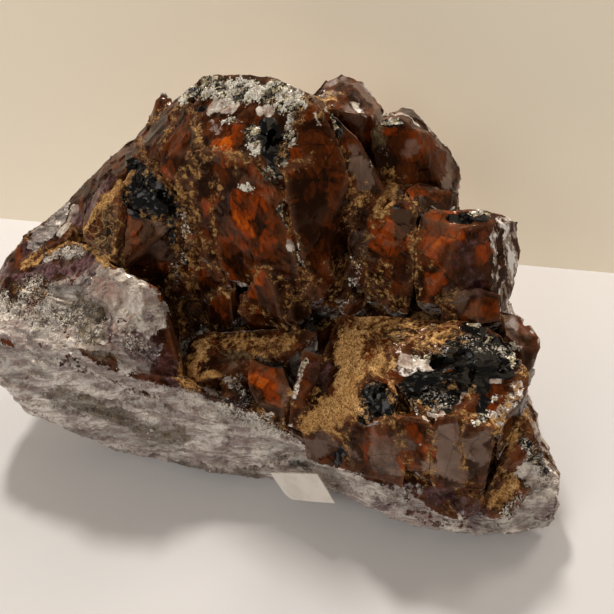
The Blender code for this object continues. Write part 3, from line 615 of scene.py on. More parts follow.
def mark_strength(places, marks, spread, salt):
    """How strongly the marks cover each place, with soft and ragged borders."""
    wider, soft, ragged = spread
    wander = ragged * rough_noise(places, 4.5, salt, 4)
    covered = np.zeros(len(places))
    for level, radius, path in marks:
        radius = wider * radius
        margin = radius * (1 + soft + ragged)
        inside = (places > path.min(0) - margin) & (places < path.max(0) + margin)
        near = np.flatnonzero(inside.all(axis=1))
        reach = np.full(len(near), 9.0)
        for start, end in zip(path, path[1:] if len(path) > 1 else path):
            run = end - start
            away = places[near] - start
            along = np.clip(away @ run / max(run @ run, 1e-6), 0, 1)
            reach = np.minimum(reach, np.linalg.norm(away - along[:, None] * run, axis=1) / radius)
        share = step(1 - soft, 1 + soft, 2 - reach + wander[near])
        covered[near] = np.maximum(covered[near], level * share)
    return covered


# ---------------------------------------------------------------- meshes

def facets_of(node):
    """The node's mesh: points in mm, triangles, each triangle's flat face, and points along its worn edges
    and along its creases."""
    shape = bmesh.new()
    shape.from_mesh(node.data)
    bmesh.ops.remove_doubles(shape, verts=shape.verts, dist=1e-6)
    bmesh.ops.dissolve_limit(shape, angle_limit=FLAT_ANGLE, verts=shape.verts, edges=shape.edges)
    rims, creases = [], []
    for edge in shape.edges:
        if len(edge.link_faces) != 2:
            continue
        angle = edge.calc_face_angle_signed()
        if abs(angle) > WORN_ANGLE:
            start, end = (np.array(v.co) / MM for v in edge.verts)
            pieces = max(1, int(np.linalg.norm(end - start) / WORN_SPACING))
            line = [start + (end - start) * k / pieces for k in range(pieces + 1)]
            (rims if angle > 0 else creases).extend(line)
    flat = shape.faces.layers.int.new("flat")
    for number, face in enumerate(shape.faces):
        face[flat] = number
    bmesh.ops.triangulate(shape, faces=shape.faces)
    points = np.array([v.co for v in shape.verts]) / MM
    triangles = np.array([[v.index for v in f.verts] for f in shape.faces])
    owner = np.array([f[flat] for f in shape.faces])
    shape.free()
    return points, triangles, owner, rims, creases


def seen_edge_goal(normals):
    """How long the edges of triangles that face this way may be: short where the camera sees them."""
    seen = normals @ np.array(CAMERA_BACK)
    return COARSE_EDGE + (FINE_EDGE - COARSE_EDGE) * step(-0.35, 0.15, seen)


def slip_edge_goal(normals):
    return np.full(len(normals), SLIP_EDGE)


def edges_of(triangles):
    """Each edge once, by its two ends, and which of them each triangle has, three to a row."""
    ends = np.stack([triangles, np.roll(triangles, -1, axis=1)], axis=2).reshape(-1, 2)
    ends.sort(axis=1)
    edges, which = np.unique(ends, axis=0, return_inverse=True)
    return edges, which.reshape(-1, 3)


def split_up(points, triangles, owner, middles):
    """The triangles in the pieces that their halved edges leave. A whole edge has a middle of -1."""
    cut = middles >= 0
    whole = ~cut.any(axis=1)
    pieces, owners = [triangles[whole]], [owner[whole]]

    def replace(chosen, *shapes):
        pieces.extend(np.stack(corners, axis=1) for corners in shapes)
        owners.extend([owner[chosen]] * len(shapes))

    for turn in range(3):
        first, second, third = np.roll(np.arange(3), -turn)
        one = cut[:, first] & ~cut[:, second] & ~cut[:, third]
        t, m = triangles[one].T, middles[one].T
        replace(one, (t[first], m[first], t[third]), (m[first], t[second], t[third]))
        two = cut[:, first] & cut[:, second] & ~cut[:, third]
        t, m = triangles[two].T, middles[two].T
        near = np.linalg.norm(points[m[first]] - points[t[third]], axis=1)
        far = np.linalg.norm(points[m[second]] - points[t[first]], axis=1)
        replace(two, (m[first], t[second], m[second]),
                (t[first], m[first], np.where(near < far, t[third], m[second])),
                (np.where(near < far, m[first], t[first]), m[second], t[third]))
    every = cut.all(axis=1)
    t, m = triangles[every].T, middles[every].T
    replace(every, (t[0], m[0], m[2]), (m[0], t[1], m[1]), (m[2], m[1], t[2]), (m[0], m[1], m[2]))
    return np.concatenate(pieces), np.concatenate(owners)


def cut_finer(points, triangles, owner, goal_for):
    """Halves edges until each is about as short as its triangles ask, keeping the mesh closed."""
    while True:
        a, b, c = (points[triangles[:, k]] for k in range(3))
        normals = np.cross(b - a, c - a)
        normals /= np.maximum(np.linalg.norm(normals, axis=1, keepdims=True), 1e-9)
        goal = goal_for(normals)
        edges, which = edges_of(triangles)
        limit = np.full(len(edges), np.inf)
        np.minimum.at(limit, which.ravel(), np.repeat(goal, 3))
        length = np.linalg.norm(points[edges[:, 0]] - points[edges[:, 1]], axis=1)
        split = length > TOO_LONG * limit
        if not split.any():
            return points, triangles, owner
        middle = np.full(len(edges), -1)
        middle[split] = len(points) + np.arange(split.sum())
        points = np.concatenate([points, points[edges[split]].mean(axis=1)])
        triangles, owner = split_up(points, triangles, owner, middle[which])


def point_normals(points, triangles):
    a, b, c = (points[triangles[:, k]] for k in range(3))
    face = np.cross(b - a, c - a)
    total = np.zeros_like(points)
    for k in range(3):
        np.add.at(total, triangles[:, k], face)
    return total / np.maximum(np.linalg.norm(total, axis=1, keepdims=True), 1e-9)


def closeness(places, line, reach):
    """1 on the line's points, falling to 0 at this distance."""
    tree = kdtree.KDTree(len(line))
    for number, place in enumerate(line):
        tree.insert(place, number)
    tree.balance()
    distance = np.array([tree.find(p)[2] for p in places])
    return np.clip(1 - distance / reach, 0, 1)


def inside_box(places):
    """The places, none past the solid's box."""
    low, high = (np.array(corner) / MM for corner in cad_box)
    low[2] = 0.0
    return np.clip(places, low, high)


def mesh_object(name, points, triangles, smooth=True):
    mesh = bpy.data.meshes.new(name)
    mesh.from_pydata(points * MM, [], triangles)
    mesh.polygons.foreach_set("use_smooth", np.full(len(triangles), smooth))
    mesh.update()
    obj = bpy.data.objects.new(name, mesh)
    bpy.context.scene.collection.objects.link(obj)
    return obj


def set_colours(mesh, name, red, green, blue):
    """Three values for each point, kept as one colour for a material to read."""
    layer = mesh.attributes.new(name, "FLOAT_COLOR", "POINT")
    values = np.ones((len(mesh.vertices), 4), np.float32)
    for k, channel in enumerate((red, green, blue)):
        values[:, k] = channel
    layer.data.foreach_set("color", values.ravel())


# ---------------------------------------------------------------- the stone

def bare_rock(points, normals):
    """Where the matrix shows without a mark: on the back, underneath, low on the right end and in front."""
    x, y, z = points.T
    behind_rim = y - np.interp(x, BACK_RIM_X, BACK_RIM_Y)
    above_rim = z - np.interp(x, FRONT_RIM_X, FRONT_RIM_Z)
    back = step(0.2, 0.6, normals[:, 1]) * step(-12, -2, behind_rim)
    end = step(0.35, 0.7, normals[:, 0]) * step(36, 28, z) * step(-24, -14, y)
    under = step(0.1, 0.5, -normals[:, 2])
    front = step(-22, -30, y - 0.25 * above_rim) * step(2, -2, above_rim)
    return back, under, end, front


def stone_zones(points, normals, marks):
    """What covers each point, by kind, from 0 to 1, and the plates that crystal faces are broken into."""
    plates = cells(pushed_about(points, 7.0, 0.8, 300), PLATE_SIZE, 70)
    plate_middle = plates[3]
    snapped = 0.85 * plate_middle + 0.15 * points
    loose = pushed_about(points, 6.0, 1.3, 200)
    zone = {}
    for number, (kind, strokes) in enumerate(marks.items()):
        where = snapped if kind in PLATE_KINDS else loose
        zone[kind] = mark_strength(where, strokes, SPREAD[kind], 10 * number)
    back, under, end, front = bare_rock(points, normals)
    zone["rock"] = np.maximum.reduce([zone["rock"], back, under, end, front * (1 - zone["grey"])])
    for kind in ("frost", "black", "milky"):
        zone["rock"] = np.minimum(zone["rock"], 1 - 0.8 * zone[kind])
    return zone, plates


def stone_relief(points, zone, plates, rim, crease):
    """How far each point stands out from the flat faces, in mm."""
    plate_height, _, plate_number, _ = plates
    chips, _, _, _ = cells(points, 3.6, 40)
    grit, _, grit_number, _ = cells(points, 1.7, 60)
    fibre, _, fibre_number, _ = cells(pushed_about(points @ FIBRE_FRAME, 5.0, 0.4, 500), 2.6, 90)
    swell = noise(points, 9.0, 81)
    glass = 0.22 * swell + 0.34 * plate_height + 0.40 * (plate_number - 0.5) + 0.12 * grit * (0.5 + crease)
    rocky = 0.6 * swell + 0.8 * fibre + 0.8 * (fibre_number - 0.5) + 0.5 * grit + 0.3 * chips
    milk = 0.5 * swell + 0.7 * plate_height + 0.6 * (plate_number - 0.5) + 0.15 * chips + 0.08 * grit
    frosty = 0.6 * chips + 0.6 * grit + 0.4 * (grit_number - 0.5)
    broken = 1.5 * plate_height + 1.2 * (plate_number - 0.5) + 0.7 * chips
    crusty = 0.45 * rough_noise(points, 2.4, 90, 3) + 0.35 * grit + 0.25
    own = {"rock": rocky, "milky": milk, "black": broken, "frost": frosty, "veins": 0.7 * crusty,
           "ochre": crusty}
    relief = glass
    for kind, height in own.items():
        relief = relief * (1 - zone[kind]) + height * zone[kind]
    relief += 0.35 * zone["glitter"] * grit
    relief += 0.5 * crease * (1 - zone["rock"]) * (rough_noise(points, 2.0, 95, 2) + 0.6)
    relief -= rim ** 2 * (0.15 + 0.7 * np.clip(noise(points, 2.2, 96), 0, 1))
    return relief - RELIEF_SINK


def build_stone():
    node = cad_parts["amethyst_cluster"]
    points, triangles, owner, rims, creases = facets_of(node)
    points, triangles, owner = cut_finer(points, triangles, owner, seen_edge_goal)
    normals = point_normals(points, triangles)
    rim = closeness(points, rims, 1.5)
    crease = closeness(points, creases, 3.5)
    zone, plates = stone_zones(points, normals, marks_on(node))
    points = points + normals * stone_relief(points, zone, plates, rim, crease)[:, None]
    points = inside_box(points)

    stone = mesh_object("amethyst_stone", points, triangles)
    stone.data.set_sharp_from_angle(angle=SHARP_ANGLE)
    facet_tone = hashed(np.stack([owner, owner * 0, owner * 0], 1), 5)
    tone = np.zeros(len(points))
    tone[triangles.ravel()] = np.repeat(facet_tone, 3)
    blotch = shade(points, 8.0, 130)
    # painted shade for the hollows between fibres, as slow noise drawn out along them
    hollow = shade(points @ FIBRE_FRAME, 3.0, 140)
    set_colours(stone.data, "cover", zone["ochre"], zone["milky"], zone["frost"])
    set_colours(stone.data, "glass", zone["black"], zone["red"], zone["grey"])
    set_colours(stone.data, "form", zone["rock"], rim, crease)
    set_colours(stone.data, "tone", tone, zone["dark"], zone["violet"])
    set_colours(stone.data, "extra", zone["veins"], zone["olive"], zone["glitter"])
    set_colours(stone.data, "broad", zone["streaked"], blotch, hollow)
    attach(stone, "root")
    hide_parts("amethyst_cluster")
    return stone, points, triangles, zone


# ---------------------------------------------------------------- crystal grains

def grain_shape():
    """A little crystal of unit size: a four-cornered flake, thick in its middle, its point off to a side."""
    ring = [(math.cos(k * math.pi / 2) * reach, math.sin(k * math.pi / 2) * reach, 0.1 * (-1) ** k)
            for k, reach in enumerate((1.0, 0.75, 1.15, 0.7))]
    corners = ring + [(0.25, 0.1, 0.75), (0, 0, -0.75)]
    faces = []
    for k in range(4):
        after = (k + 1) % 4
        faces += [(k, after, 4), (after, k, 5)]
    return np.array(corners), np.array(faces)


def build_grains(points, triangles, zone):
    """Loose-looking crystal grains that grew on the stone where it glitters, each sunk into it."""
    draw = np.random.default_rng(GRAIN_SEED)
    corners = points[triangles]
    normal = np.cross(corners[:, 1] - corners[:, 0], corners[:, 2] - corners[:, 0])
    area = np.linalg.norm(normal, axis=1) / 2
    normal /= np.maximum(2 * area, 1e-9)[:, None]
    where = {kind: strength[triangles].mean(axis=1) for kind, strength in zone.items()}
    seen = step(-0.2, 0.2, normal @ np.array(CAMERA_BACK))
    clump = step(-0.25, 0.35, noise(corners.mean(axis=1), 3.0, 600))
    wish = 0.5 * where["frost"] + 0.5 * where["glitter"] + 0.015 * where["rock"]
    wish = wish * area * (0.15 + 0.85 * seen)
    wish = wish * (1 - where["ochre"]) * (1 - 0.97 * where["black"]) * (0.25 + 0.75 * clump)
    chosen = np.sort(draw.choice(len(triangles), GRAIN_COUNT, p=wish / wish.sum()))
    share = draw.dirichlet((1, 1, 1), GRAIN_COUNT)
    place = (corners[chosen] * share[:, :, None]).sum(axis=1)
    up = normal[chosen] + draw.normal(0, 0.45, (GRAIN_COUNT, 3))
    up /= np.linalg.norm(up, axis=1, keepdims=True)
    side = np.cross(up, draw.normal(0, 1, (GRAIN_COUNT, 3)))
    side /= np.linalg.norm(side, axis=1, keepdims=True)
    size = GRAIN_SIZE * draw.uniform(0.6, 1.0, GRAIN_COUNT) ** 2 * (1 + 0.3 * where["frost"][chosen])
    tall = size * draw.uniform(0.5, 1.0, GRAIN_COUNT)
    shape, faces = grain_shape()
    axes = np.stack([side * size[:, None], np.cross(up, side) * size[:, None], up * tall[:, None]], axis=1)
    grains = place[:, None] - normal[chosen][:, None] * GRAIN_SINK + np.einsum("vk,nkc->nvc", shape, axes)
    grains = inside_box(grains.reshape(-1, 3))
    faces = (faces[None] + len(shape) * np.arange(GRAIN_COUNT)[:, None, None]).reshape(-1, 3)
    piece = mesh_object("crystal_grains", grains, faces, smooth=False)
    tone = 0.45 * draw.uniform(0, 1, GRAIN_COUNT) + 0.55 * clump[chosen]
    tone = np.maximum(tone, 0.45 * where["rock"][chosen])
    values = (tone, where["rock"][chosen], where["black"][chosen])
    set_colours(piece.data, "grain", *(np.repeat(value, len(shape)) for value in values))
    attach(piece, "root")
    return piece


# ---------------------------------------------------------------- the slip

def build_slip():
    """The slip's own outline, cut finer, with the paper bent a little and its edge worn."""
    points, triangles, owner, rims, _ = facets_of(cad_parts["paper_label"])
    points, triangles, _ = cut_finer(points, triangles, owner, slip_edge_goal)
    across = np.cross(SLIP_SHORT, SLIP_LONG)
    across /= np.linalg.norm(across)
    flat = points - np.outer(points @ across, across)  # the same on both faces, so the slip stays as thick
    bend = SLIP_BEND * noise(flat, 8.0, 400) + 0.04 * noise(flat, 1.5, 401)
    worn = closeness(points, rims, 0.3)[:, None] * 0.09
    fray = np.stack([noise(flat, 1.0, 410 + k) for k in range(3)], axis=1)
    points = inside_box(points + bend[:, None] * across + worn * fray)
    slip = mesh_object("paper_slip", points, triangles)
    slip.data.set_sharp_from_angle(angle=PAPER_ANGLE)
    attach(slip, "root")
    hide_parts("paper_label")
    return slip


# ---------------------------------------------------------------- materials

def srgb(*seen):
    """A colour as it is seen, from 0 to 255, as the linear colour that a shader takes."""
    return tuple(((c / 255 + 0.055) / 1.055) ** 2.4 if c > 10 else c / 3294.6 for c in seen) + (1.0,)


class Shader:
    """A material's nodes, made by short calls that return sockets. Sizes are in mm."""

    def __init__(self, name):
        self.material = bpy.data.materials.new(name)
        self.material.use_nodes = True
        self.tree = self.material.node_tree
        self.surface = self.tree.nodes["Principled BSDF"]
        self.place = self.made("TexCoord", output="Object")

    def made(self, kind, inputs=(), output=0, **settings):
        """One output of a new node."""
        node = self.tree.nodes.new("ShaderNode" + kind)
        for key, value in settings.items():
            setattr(node, key, value)
        for key, value in dict(inputs).items():
            self.put(node.inputs[key], value)
        return node.outputs[output]

    def put(self, socket, value):
        if isinstance(value, bpy.types.NodeSocket):
            self.tree.links.new(value, socket)
        else:
            socket.default_value = value

    def set(self, **values):
        for key, value in values.items():
            self.put(self.surface.inputs[key.replace("_", " ")], value)

    def marks(self, name):
        """The three channels of a painted layer."""
        layer = self.made("Attribute", output="Color", attribute_name=name)
        return list(self.made("SeparateColor", {"Color": layer}).node.outputs)

    def math(self, operation, first, second):
        return self.made("Math", {0: first, 1: second}, operation=operation)

    def times(self, first, second):
        return self.math("MULTIPLY", first, second)

    def plus(self, first, second):
        return self.math("ADD", first, second)

    def most(self, value, *others):
        for other in others:
            value = self.math("MAXIMUM", value, other)
        return value

    def vector(self, operation, first, second):
        place = 3 if operation == "SCALE" else 1
        return self.made("VectorMath", {0: first, place: second}, operation=operation)

    def mix(self, share, first, second):
        """Between two colours."""
        return self.made("Mix", {0: share, 6: first, 7: second}, output=2, data_type="RGBA")

    def blend(self, share, first, second):
        """Between two numbers."""
        return self.made("Mix", {0: share, 2: first, 3: second})

    def coated(self, colour, *coats):
        """The colour under coats, each given as how much of it lies there and its own colour."""
        for share, coat in coats:
            colour = self.mix(share, colour, coat)
        return colour

    def span(self, value, low, high, start=0.0, end=1.0):
        inputs = {0: value, 1: low, 2: high, 3: start, 4: end}
        return self.made("MapRange", inputs, interpolation_type="SMOOTHSTEP")

    def swayed(self, value, *sways):
        """The value plus the span of each pattern."""
        for sway in sways:
            value = self.plus(value, self.span(*sway))
        return value

    def patchy(self, strength, ragged, soft=0.1):
        """A painted layer with ragged borders, and in patches where it is weak."""
        return self.span(self.plus(strength, ragged), 0.5 - soft, 0.5 + soft)

    def pattern(self, kind, size, place=None, output=0, inputs=(), **settings):
        sized = {"Vector": place or self.place, "Scale": 1 / MM / size}
        return self.made(kind, {**sized, **dict(inputs)}, output, **settings)

    def noise(self, size, detail=4.0, rough=0.55, bend=0.0, place=None):
        inputs = {"Detail": detail, "Roughness": rough, "Distortion": bend}
        return self.pattern("TexNoise", size, place, "Fac", inputs)

    def cracks(self, size, place=None):
        """Distance from the border of random cells."""
        return self.pattern("TexVoronoi", size, place, "Distance", feature="DISTANCE_TO_EDGE")

    def cell_number(self, size, place=None):
        return self.pattern("TexVoronoi", size, place, "Color")

    def drawn_out(self, turn, *squeeze):
        """The place turned about the Y axis and squeezed along each axis, so that patterns run in streaks."""
        turned = self.made("VectorRotate", {"Vector": self.place, "Angle": turn},
                           rotation_type="Y_AXIS")
        return self.vector("MULTIPLY", turned, squeeze)

    def bent(self, size, amount, place):
        """The place, pushed about by noise, so that cell borders wander."""
        shift = self.pattern("TexNoise", size, place, "Color", {"Detail": 1.0})
        centred = self.vector("SUBTRACT", shift, (0.5, 0.5, 0.5))
        return self.vector("ADD", place, self.vector("SCALE", centred, amount * MM * 2))

    def bump(self, height, depth, strength):
        return self.made("Bump", {"Height": height, "Distance": depth * MM, "Strength": strength})


# ---------------------------------------------------------------- the stone's material, by what covers it

def stone_patterns(s):
    """Noise and cells that several of the stone's looks share."""
    angular = s.bent(3.0, 0.35, s.drawn_out(0.15, 1.0, 1.0, 0.7))
    speck = s.noise(0.55, 2, 0.6)
    salt = s.noise(2.6, 5, 0.75, 0.5, s.drawn_out(0.6, 0.4, 1.0, 1.0))
    return SimpleNamespace(
        angular=angular,
        speck=speck,
        fine=s.noise(1.8, 4, 0.65),
        streak=s.noise(1.5, 4, 0.65, 0.5, s.drawn_out(FIBRE_SLOPE, 0.16, 0.6, 1.0)),
        band=s.noise(1.5, 3, 0.65, 0.3, s.drawn_out(0.0, 1.0, 1.0, 0.16)),
        salt=s.swayed(salt, (speck, 0.3, 0.7, -0.05, 0.05)),
        plate=s.cell_number(6.5, angular),
        border=s.cracks(6.5, angular),
    )


def stone_layers(s, look):
    """The painted layers, each with the borders that suit it."""
    on = SimpleNamespace()
    on.ochre, milky, frost = s.marks("cover")
    black, red, grey = s.marks("glass")
    rock, on.rim, on.crease = s.marks("form")
    on.tone, on.dark, violet = s.marks("tone")
    on.veins, olive, on.glitter = s.marks("extra")
    streaked, on.blotch, on.hollow = s.marks("broad")
    ragged = s.swayed(s.span(look.fine, 0.3, 0.7, -0.3, 0.3), (look.speck, 0.3, 0.7, -0.12, 0.12))
    slightly = s.times(ragged, 0.4)
    on.rock, on.frost, on.streaked = (s.patchy(layer, ragged) for layer in (rock, frost, streaked))
    on.milky, on.black = (s.patchy(layer, slightly) for layer in (milky, black))
    on.grey, on.violet, on.olive = (s.patchy(layer, slightly, 0.42) for layer in (grey, violet, olive))
    on.red = s.times(red, s.patchy(s.times(red, 1.6), ragged))
    return on


def iron_quartz(s, on, look):
    """Clear quartz over a film of iron, cracked: brown, and red to orange where the film is thin, partly the
    stain's own colour and partly a painted glow of light passing through.
    """
    chip = s.cell_number(2.6, look.angular)
    upright = s.noise(1.0, 3, 0.6, 0.3, s.drawn_out(0.0, 1.0, 1.0, 0.25))
    glow = s.swayed(s.plus(s.times(on.red, 0.6), s.times(on.tone, 0.26)),
                    (look.plate, 0.2, 0.8, -0.02, 0.24),
                    (on.blotch, 0.3, 0.7, -0.22, 0.0),
                    (chip, 0.2, 0.8, -0.12, 0.12),
                    (upright, 0.35, 0.65, -0.14, 0.08))
    crack = s.times(s.span(look.border, 0.0, 0.035, 1.0, 0.0), s.span(look.fine, 0.44, 0.54))
    deep = s.times(s.span(look.border, 0.02, 0.09, 1.0, 0.0), s.span(look.speck, 0.5, 0.6, 0.0, 0.6))
    crack = s.times(s.most(crack, deep), s.span(on.blotch, 0.38, 0.5, 0.2, 1.0))
    return s.coated(srgb(38, 17, 7),
                    (s.span(glow, -0.1, 0.45), srgb(98, 46, 16)),
                    (s.span(glow, 0.35, 0.75), srgb(152, 60, 10)),
                    (s.span(glow, 0.7, 1.05), srgb(206, 98, 18)),
                    (s.times(crack, 0.85), srgb(16, 8, 5)))


def painted_grey_sheen(s, on, look):
    """Painted sheen: the grey that some crystal faces show where they mirror the pale room, given as their
    colour.
    """
    return s.coated(srgb(102, 74, 58),
                    (s.span(on.blotch, 0.3, 0.7), srgb(140, 110, 92)),
                    (s.span(look.fine, 0.6, 0.75, 0.0, 0.6), srgb(96, 50, 32)),
                    (s.span(look.border, 0.0, 0.03, 0.6, 0.0), srgb(60, 34, 24)))


def lilac_matrix(s, on, look):
    """Lilac and grey grains, drawn out into fibres along the front wall, with darker streaks that are painted
    shade for the hollows between fibres.
    """
    return s.coated(srgb(172, 153, 142),
                    (s.span(look.streak, 0.38, 0.62), srgb(254, 244, 232)),
                    (s.span(on.blotch, 0.42, 0.62, 0.0, 0.4), srgb(154, 126, 124)),
                    (s.span(look.speck, 0.54, 0.7, 0.0, 0.36), srgb(72, 60, 56)),
                    (s.span(on.hollow, 0.42, 0.6, 0.38, 0.0), srgb(78, 68, 62)))


def milky_quartz(s, on, look):
    """Cream quartz, cloudy in upright bands."""
    cloud = s.plus(s.times(look.fine, 0.7), s.times(look.band, 0.3))
    return s.coated(srgb(158, 134, 116),
                    (s.span(cloud, 0.36, 0.62), srgb(250, 240, 226)),
                    (s.span(look.plate, 0.35, 0.75, 0.0, 0.5), srgb(126, 98, 86)),
                    (s.span(on.blotch, 0.5, 0.65, 0.0, 0.5), srgb(150, 112, 104)))


def glass_with_painted_streaks(s, look):
    """Dark glass with bright upright streaks: the bright streaks are painted highlights and painted backlight.
    """
    return s.coated(srgb(66, 42, 30),
                    (s.span(look.band, 0.42, 0.48), srgb(170, 152, 138)),
                    (s.span(look.band, 0.52, 0.58), srgb(255, 250, 244)))


def silver_frost(s, look):
    """Tiny faces that flash white beside black: pale and black grains of their own, and white flashes that are
    painted glints.
    """
    return s.coated(srgb(22, 15, 10),
                    (s.span(look.salt, 0.45, 0.515), srgb(200, 184, 144)),
                    (s.span(look.salt, 0.53, 0.59), srgb(255, 251, 240)))


def ochre_crust(s, on, look):
    """Ochre dust and straw-like crust, thickest in creases, and its net of veins: where they lie, and their
    colour."""
    wander = s.bent(5.0, 2.2, s.drawn_out(0.0, 0.65, 1.0, 1.0))
    pale = s.most(on.rock, on.milky, on.violet, on.olive)
    heap = s.most(on.ochre, s.times(on.crease, s.span(pale, 0.0, 1.0, 0.42, 0.1)))
    spread = s.span(heap, 0.0, 0.3, 0.45, 1.0)
    heap = s.plus(heap, s.times(spread, s.span(look.fine, 0.25, 0.75, -0.42, 0.42)))
    heap = s.plus(heap, s.times(spread, s.span(look.speck, 0.3, 0.7, -0.12, 0.12)))
    net = s.times(s.span(s.cracks(2.3, wander), 0.0, 0.1, 1.0, 0.0), s.span(look.fine, 0.34, 0.52))
    dust = s.most(s.span(heap, 0.28, 0.6), s.times(on.veins, net))
    mesh = s.times(s.span(s.cracks(1.1, wander), 0.0, 0.18, 0.7, 0.0), s.span(look.fine, 0.4, 0.6))
    straw = s.most(mesh, s.span(s.noise(0.9, 3, 0.7, 1.8), 0.42, 0.66))
    earth = s.coated(srgb(128, 83, 41),
                     (straw, srgb(255, 208, 140)),
                     (s.span(on.blotch, 0.35, 0.65, 0.35, 0.0), srgb(176, 122, 62)),
                     (s.span(heap, 0.4, 0.85, 0.5, 0.0), srgb(118, 80, 38)))
    return dust, earth


def stone_colour(s, on, look, dust, earth):
    """Every look in its place, the later ones over the earlier."""
    olive = s.mix(s.span(look.fine, 0.35, 0.62), srgb(46, 36, 22), srgb(122, 104, 76))
    wine = s.mix(s.span(look.fine, 0.4, 0.7), srgb(60, 34, 36), srgb(132, 98, 102))
    glints = s.times(on.glitter, s.span(s.times(look.salt, look.speck), 0.27, 0.32))
    return s.coated(iron_quartz(s, on, look),
                    # painted sheen on the grey-marked faces
                    (s.times(on.grey, s.span(look.fine, 0.2, 0.5, 0.6, 1.0)), painted_grey_sheen(s, on, look)),
                    # rims paler: worn edges, and partly a painted highlight along them
                    (s.times(on.rim, 0.3), srgb(160, 112, 84)),
                    (on.rock, lilac_matrix(s, on, look)),
                    (s.times(on.olive, 0.9), olive),
                    (on.milky, milky_quartz(s, on, look)),
                    (s.times(on.violet, 0.92), wine),
                    (on.streaked, glass_with_painted_streaks(s, look)),
                    (on.black, srgb(11, 8, 6)),
                    (on.frost, silver_frost(s, look)),
                    (glints, srgb(236, 224, 206)),
                    # painted shade in hollows and gaps
                    (s.times(on.dark, 0.85), srgb(13, 7, 4)),
                    (dust, earth))


def stone_roughness(s, on, dust):
    rough = 0.15
    layers = (on.rock, on.milky, on.grey, on.black, on.frost, dust)
    for layer, own in zip(layers, (0.24, 0.13, 0.33, 0.05, 0.16, 0.85)):
        rough = s.blend(layer, rough, own)
    return rough


def stone_bumps(s, on, look, dust, grain):
    """Relief too fine for the mesh: grit, fibres and small facets."""
    facets = s.most(s.times(on.black, 0.3), s.times(grain, 1.1), s.times(on.glitter, 1.4))
    height = s.times(look.fine, s.blend(grain, 0.12, 0.5))
    height = s.plus(height, s.times(look.speck, s.blend(dust, 0.05, 0.6)))
    height = s.plus(height, s.times(look.streak, s.times(on.rock, 1.2)))
    height = s.plus(height, s.times(s.cracks(2.5, look.angular), facets))
    return s.bump(height, 0.6, 0.8)


def stone_material():
    s = Shader("stained_amethyst")
    look = stone_patterns(s)
    on = stone_layers(s, look)
    dust, earth = ochre_crust(s, on, look)
    grain = s.most(on.rock, on.frost, s.times(on.milky, 0.35))
    clear = s.most(grain, on.milky, on.black, on.grey)  # nothing tints what these mirror
    mirror = s.blend(on.black, s.blend(clear, 0.26, 0.5), 0.34)
    s.set(Base_Color=stone_colour(s, on, look, dust, earth), Roughness=stone_roughness(s, on, dust),
          IOR=QUARTZ_IOR, Specular_IOR_Level=mirror, Specular_Tint=s.mix(clear, WARM_SHEEN, WHITE),
          Normal=stone_bumps(s, on, look, dust, grain))
    return s.material


# ---------------------------------------------------------------- the other materials

def grain_material():
    s = Shader("quartz_grains")
    tone, rock, black = s.marks("grain")
    colour = s.coated(srgb(126, 110, 98),
                      (s.span(tone, 0.3, 0.8), srgb(255, 250, 238)),
                      (s.times(rock, 0.4), srgb(164, 146, 140)),
                      (s.times(black, s.span(tone, 0.75, 0.35)), srgb(18, 15, 15)),
                      (s.span(tone, 0.26, 0.34, 1.0, 0.0), srgb(34, 26, 20)))
    s.set(Base_Color=colour, Roughness=0.08, IOR=QUARTZ_IOR)
    return s.material


def paper_material():
    s = Shader("bare_paper")
    stain = s.span(s.noise(5.0, 3), 0.4, 0.75, 0.0, 0.5)
    fibre = s.noise(0.4, 5, 0.7)
    s.set(Base_Color=s.mix(stain, srgb(246, 238, 226), srgb(214, 202, 188)), Roughness=0.8,
          Normal=s.bump(fibre, 0.06, 0.6))
    return s.material


def stage_material(name, colour, one_sided=False, glow=0.0):
    s = Shader(name)
    duller = tuple(c * 0.97 for c in colour[:3]) + (1,)
    s.set(Base_Color=s.mix(s.noise(60.0, 2), colour, duller), Roughness=0.7, Emission_Color=colour,
          Emission_Strength=glow)
    if one_sided:  # seen from its front alone, and in no lamp's way
        behind = s.made("NewGeometry", output="Backfacing")
        shadow = s.made("LightPath", output="Is Shadow Ray")
        clear = s.made("BsdfTransparent")
        both = s.made("MixShader", {0: s.most(behind, shadow), 1: s.surface.outputs[0], 2: clear})
        s.put(s.tree.nodes["Material Output"].inputs["Surface"], both)
    return s.material


# ---------------------------------------------------------------- stage, lamps, camera

def flat_sheet(name, *corners):
    mesh = bpy.data.meshes.new(name)
    mesh.from_pydata(corners, [], [list(range(len(corners)))])
    obj = bpy.data.objects.new(name, mesh)
    bpy.context.scene.collection.objects.link(obj)
    return obj


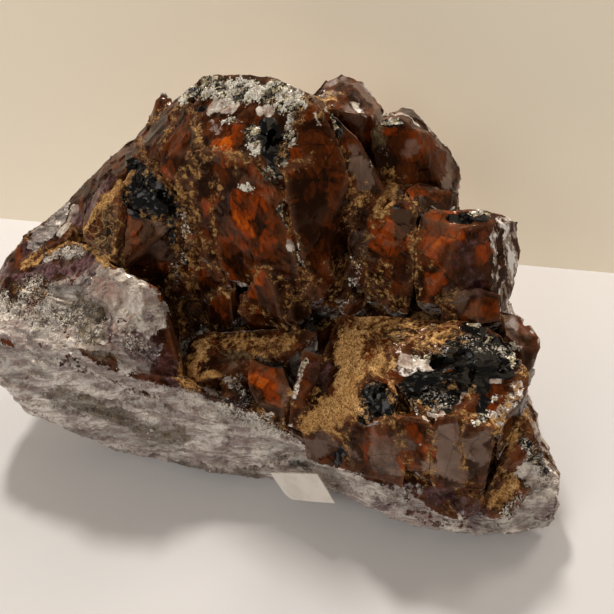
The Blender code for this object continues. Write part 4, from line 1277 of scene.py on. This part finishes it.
def add_lamp(name, place, size, watts, colour):
    lamp = bpy.data.lights.new(name, "AREA")
    lamp.shape = "DISK"
    lamp.size = size
    lamp.energy = watts
    lamp.color = colour
    obj = bpy.data.objects.new(name, lamp)
    obj.location = place
    obj.rotation_euler = (Vector(LAMPS_AIM) - Vector(place)).to_track_quat("-Z", "Y").to_euler()
    bpy.context.scene.collection.objects.link(obj)


def build_stage():
    r, y, top = FLOOR_REACH, WALL_Y, WALL_HEIGHT
    floor = flat_sheet("floor", (-r, -r, 0), (r, -r, 0), (r, r, 0), (-r, r, 0))
    floor.data.materials.append(stage_material("pale_floor", srgb(223, 221, 221)))
    wall = flat_sheet("wall", (-r, y, 0), (r, y, 0), (r, y, top), (-r, y, top))
    wall.data.materials.append(stage_material("pale_wall", srgb(222, 210, 188), one_sided=True, glow=0.33))
    add_lamp("key", (-0.40, 1.06, 1.35), 0.2, 20, (1.0, 0.945, 0.88))
    add_lamp("second", (0.70, 1.23, 1.11), 0.4, 8, (1.0, 0.93, 0.86))
    add_lamp("fill", (-0.45, -0.75, 0.75), 0.8, 3.2, (1.0, 0.96, 0.92))
    world = bpy.data.worlds.new("room")
    world.use_nodes = True
    world.node_tree.nodes["Background"].inputs["Color"].default_value = ROOM_COLOUR
    world.node_tree.nodes["Background"].inputs["Strength"].default_value = ROOM_GLOW
    bpy.context.scene.world = world


def add_camera():
    camera = bpy.data.objects.new("camera", bpy.data.cameras.new("camera"))
    axes = Matrix((CAMERA_RIGHT, CAMERA_UP, CAMERA_BACK)).transposed().to_4x4()
    camera.matrix_world = Matrix.Translation(CAMERA_AT) @ axes
    camera.data.sensor_width = SENSOR
    camera.data.lens = LENS
    camera.data.clip_start = NEAREST_SEEN
    bpy.context.scene.collection.objects.link(camera)
    bpy.context.scene.camera = camera


stone, stone_points, stone_triangles, stone_zone = build_stone()
stone.data.materials.append(stone_material())
build_grains(stone_points, stone_triangles, stone_zone).data.materials.append(grain_material())
build_slip().data.materials.append(paper_material())
build_stage()
add_camera()
bpy.context.scene.view_settings.view_transform = "Standard"
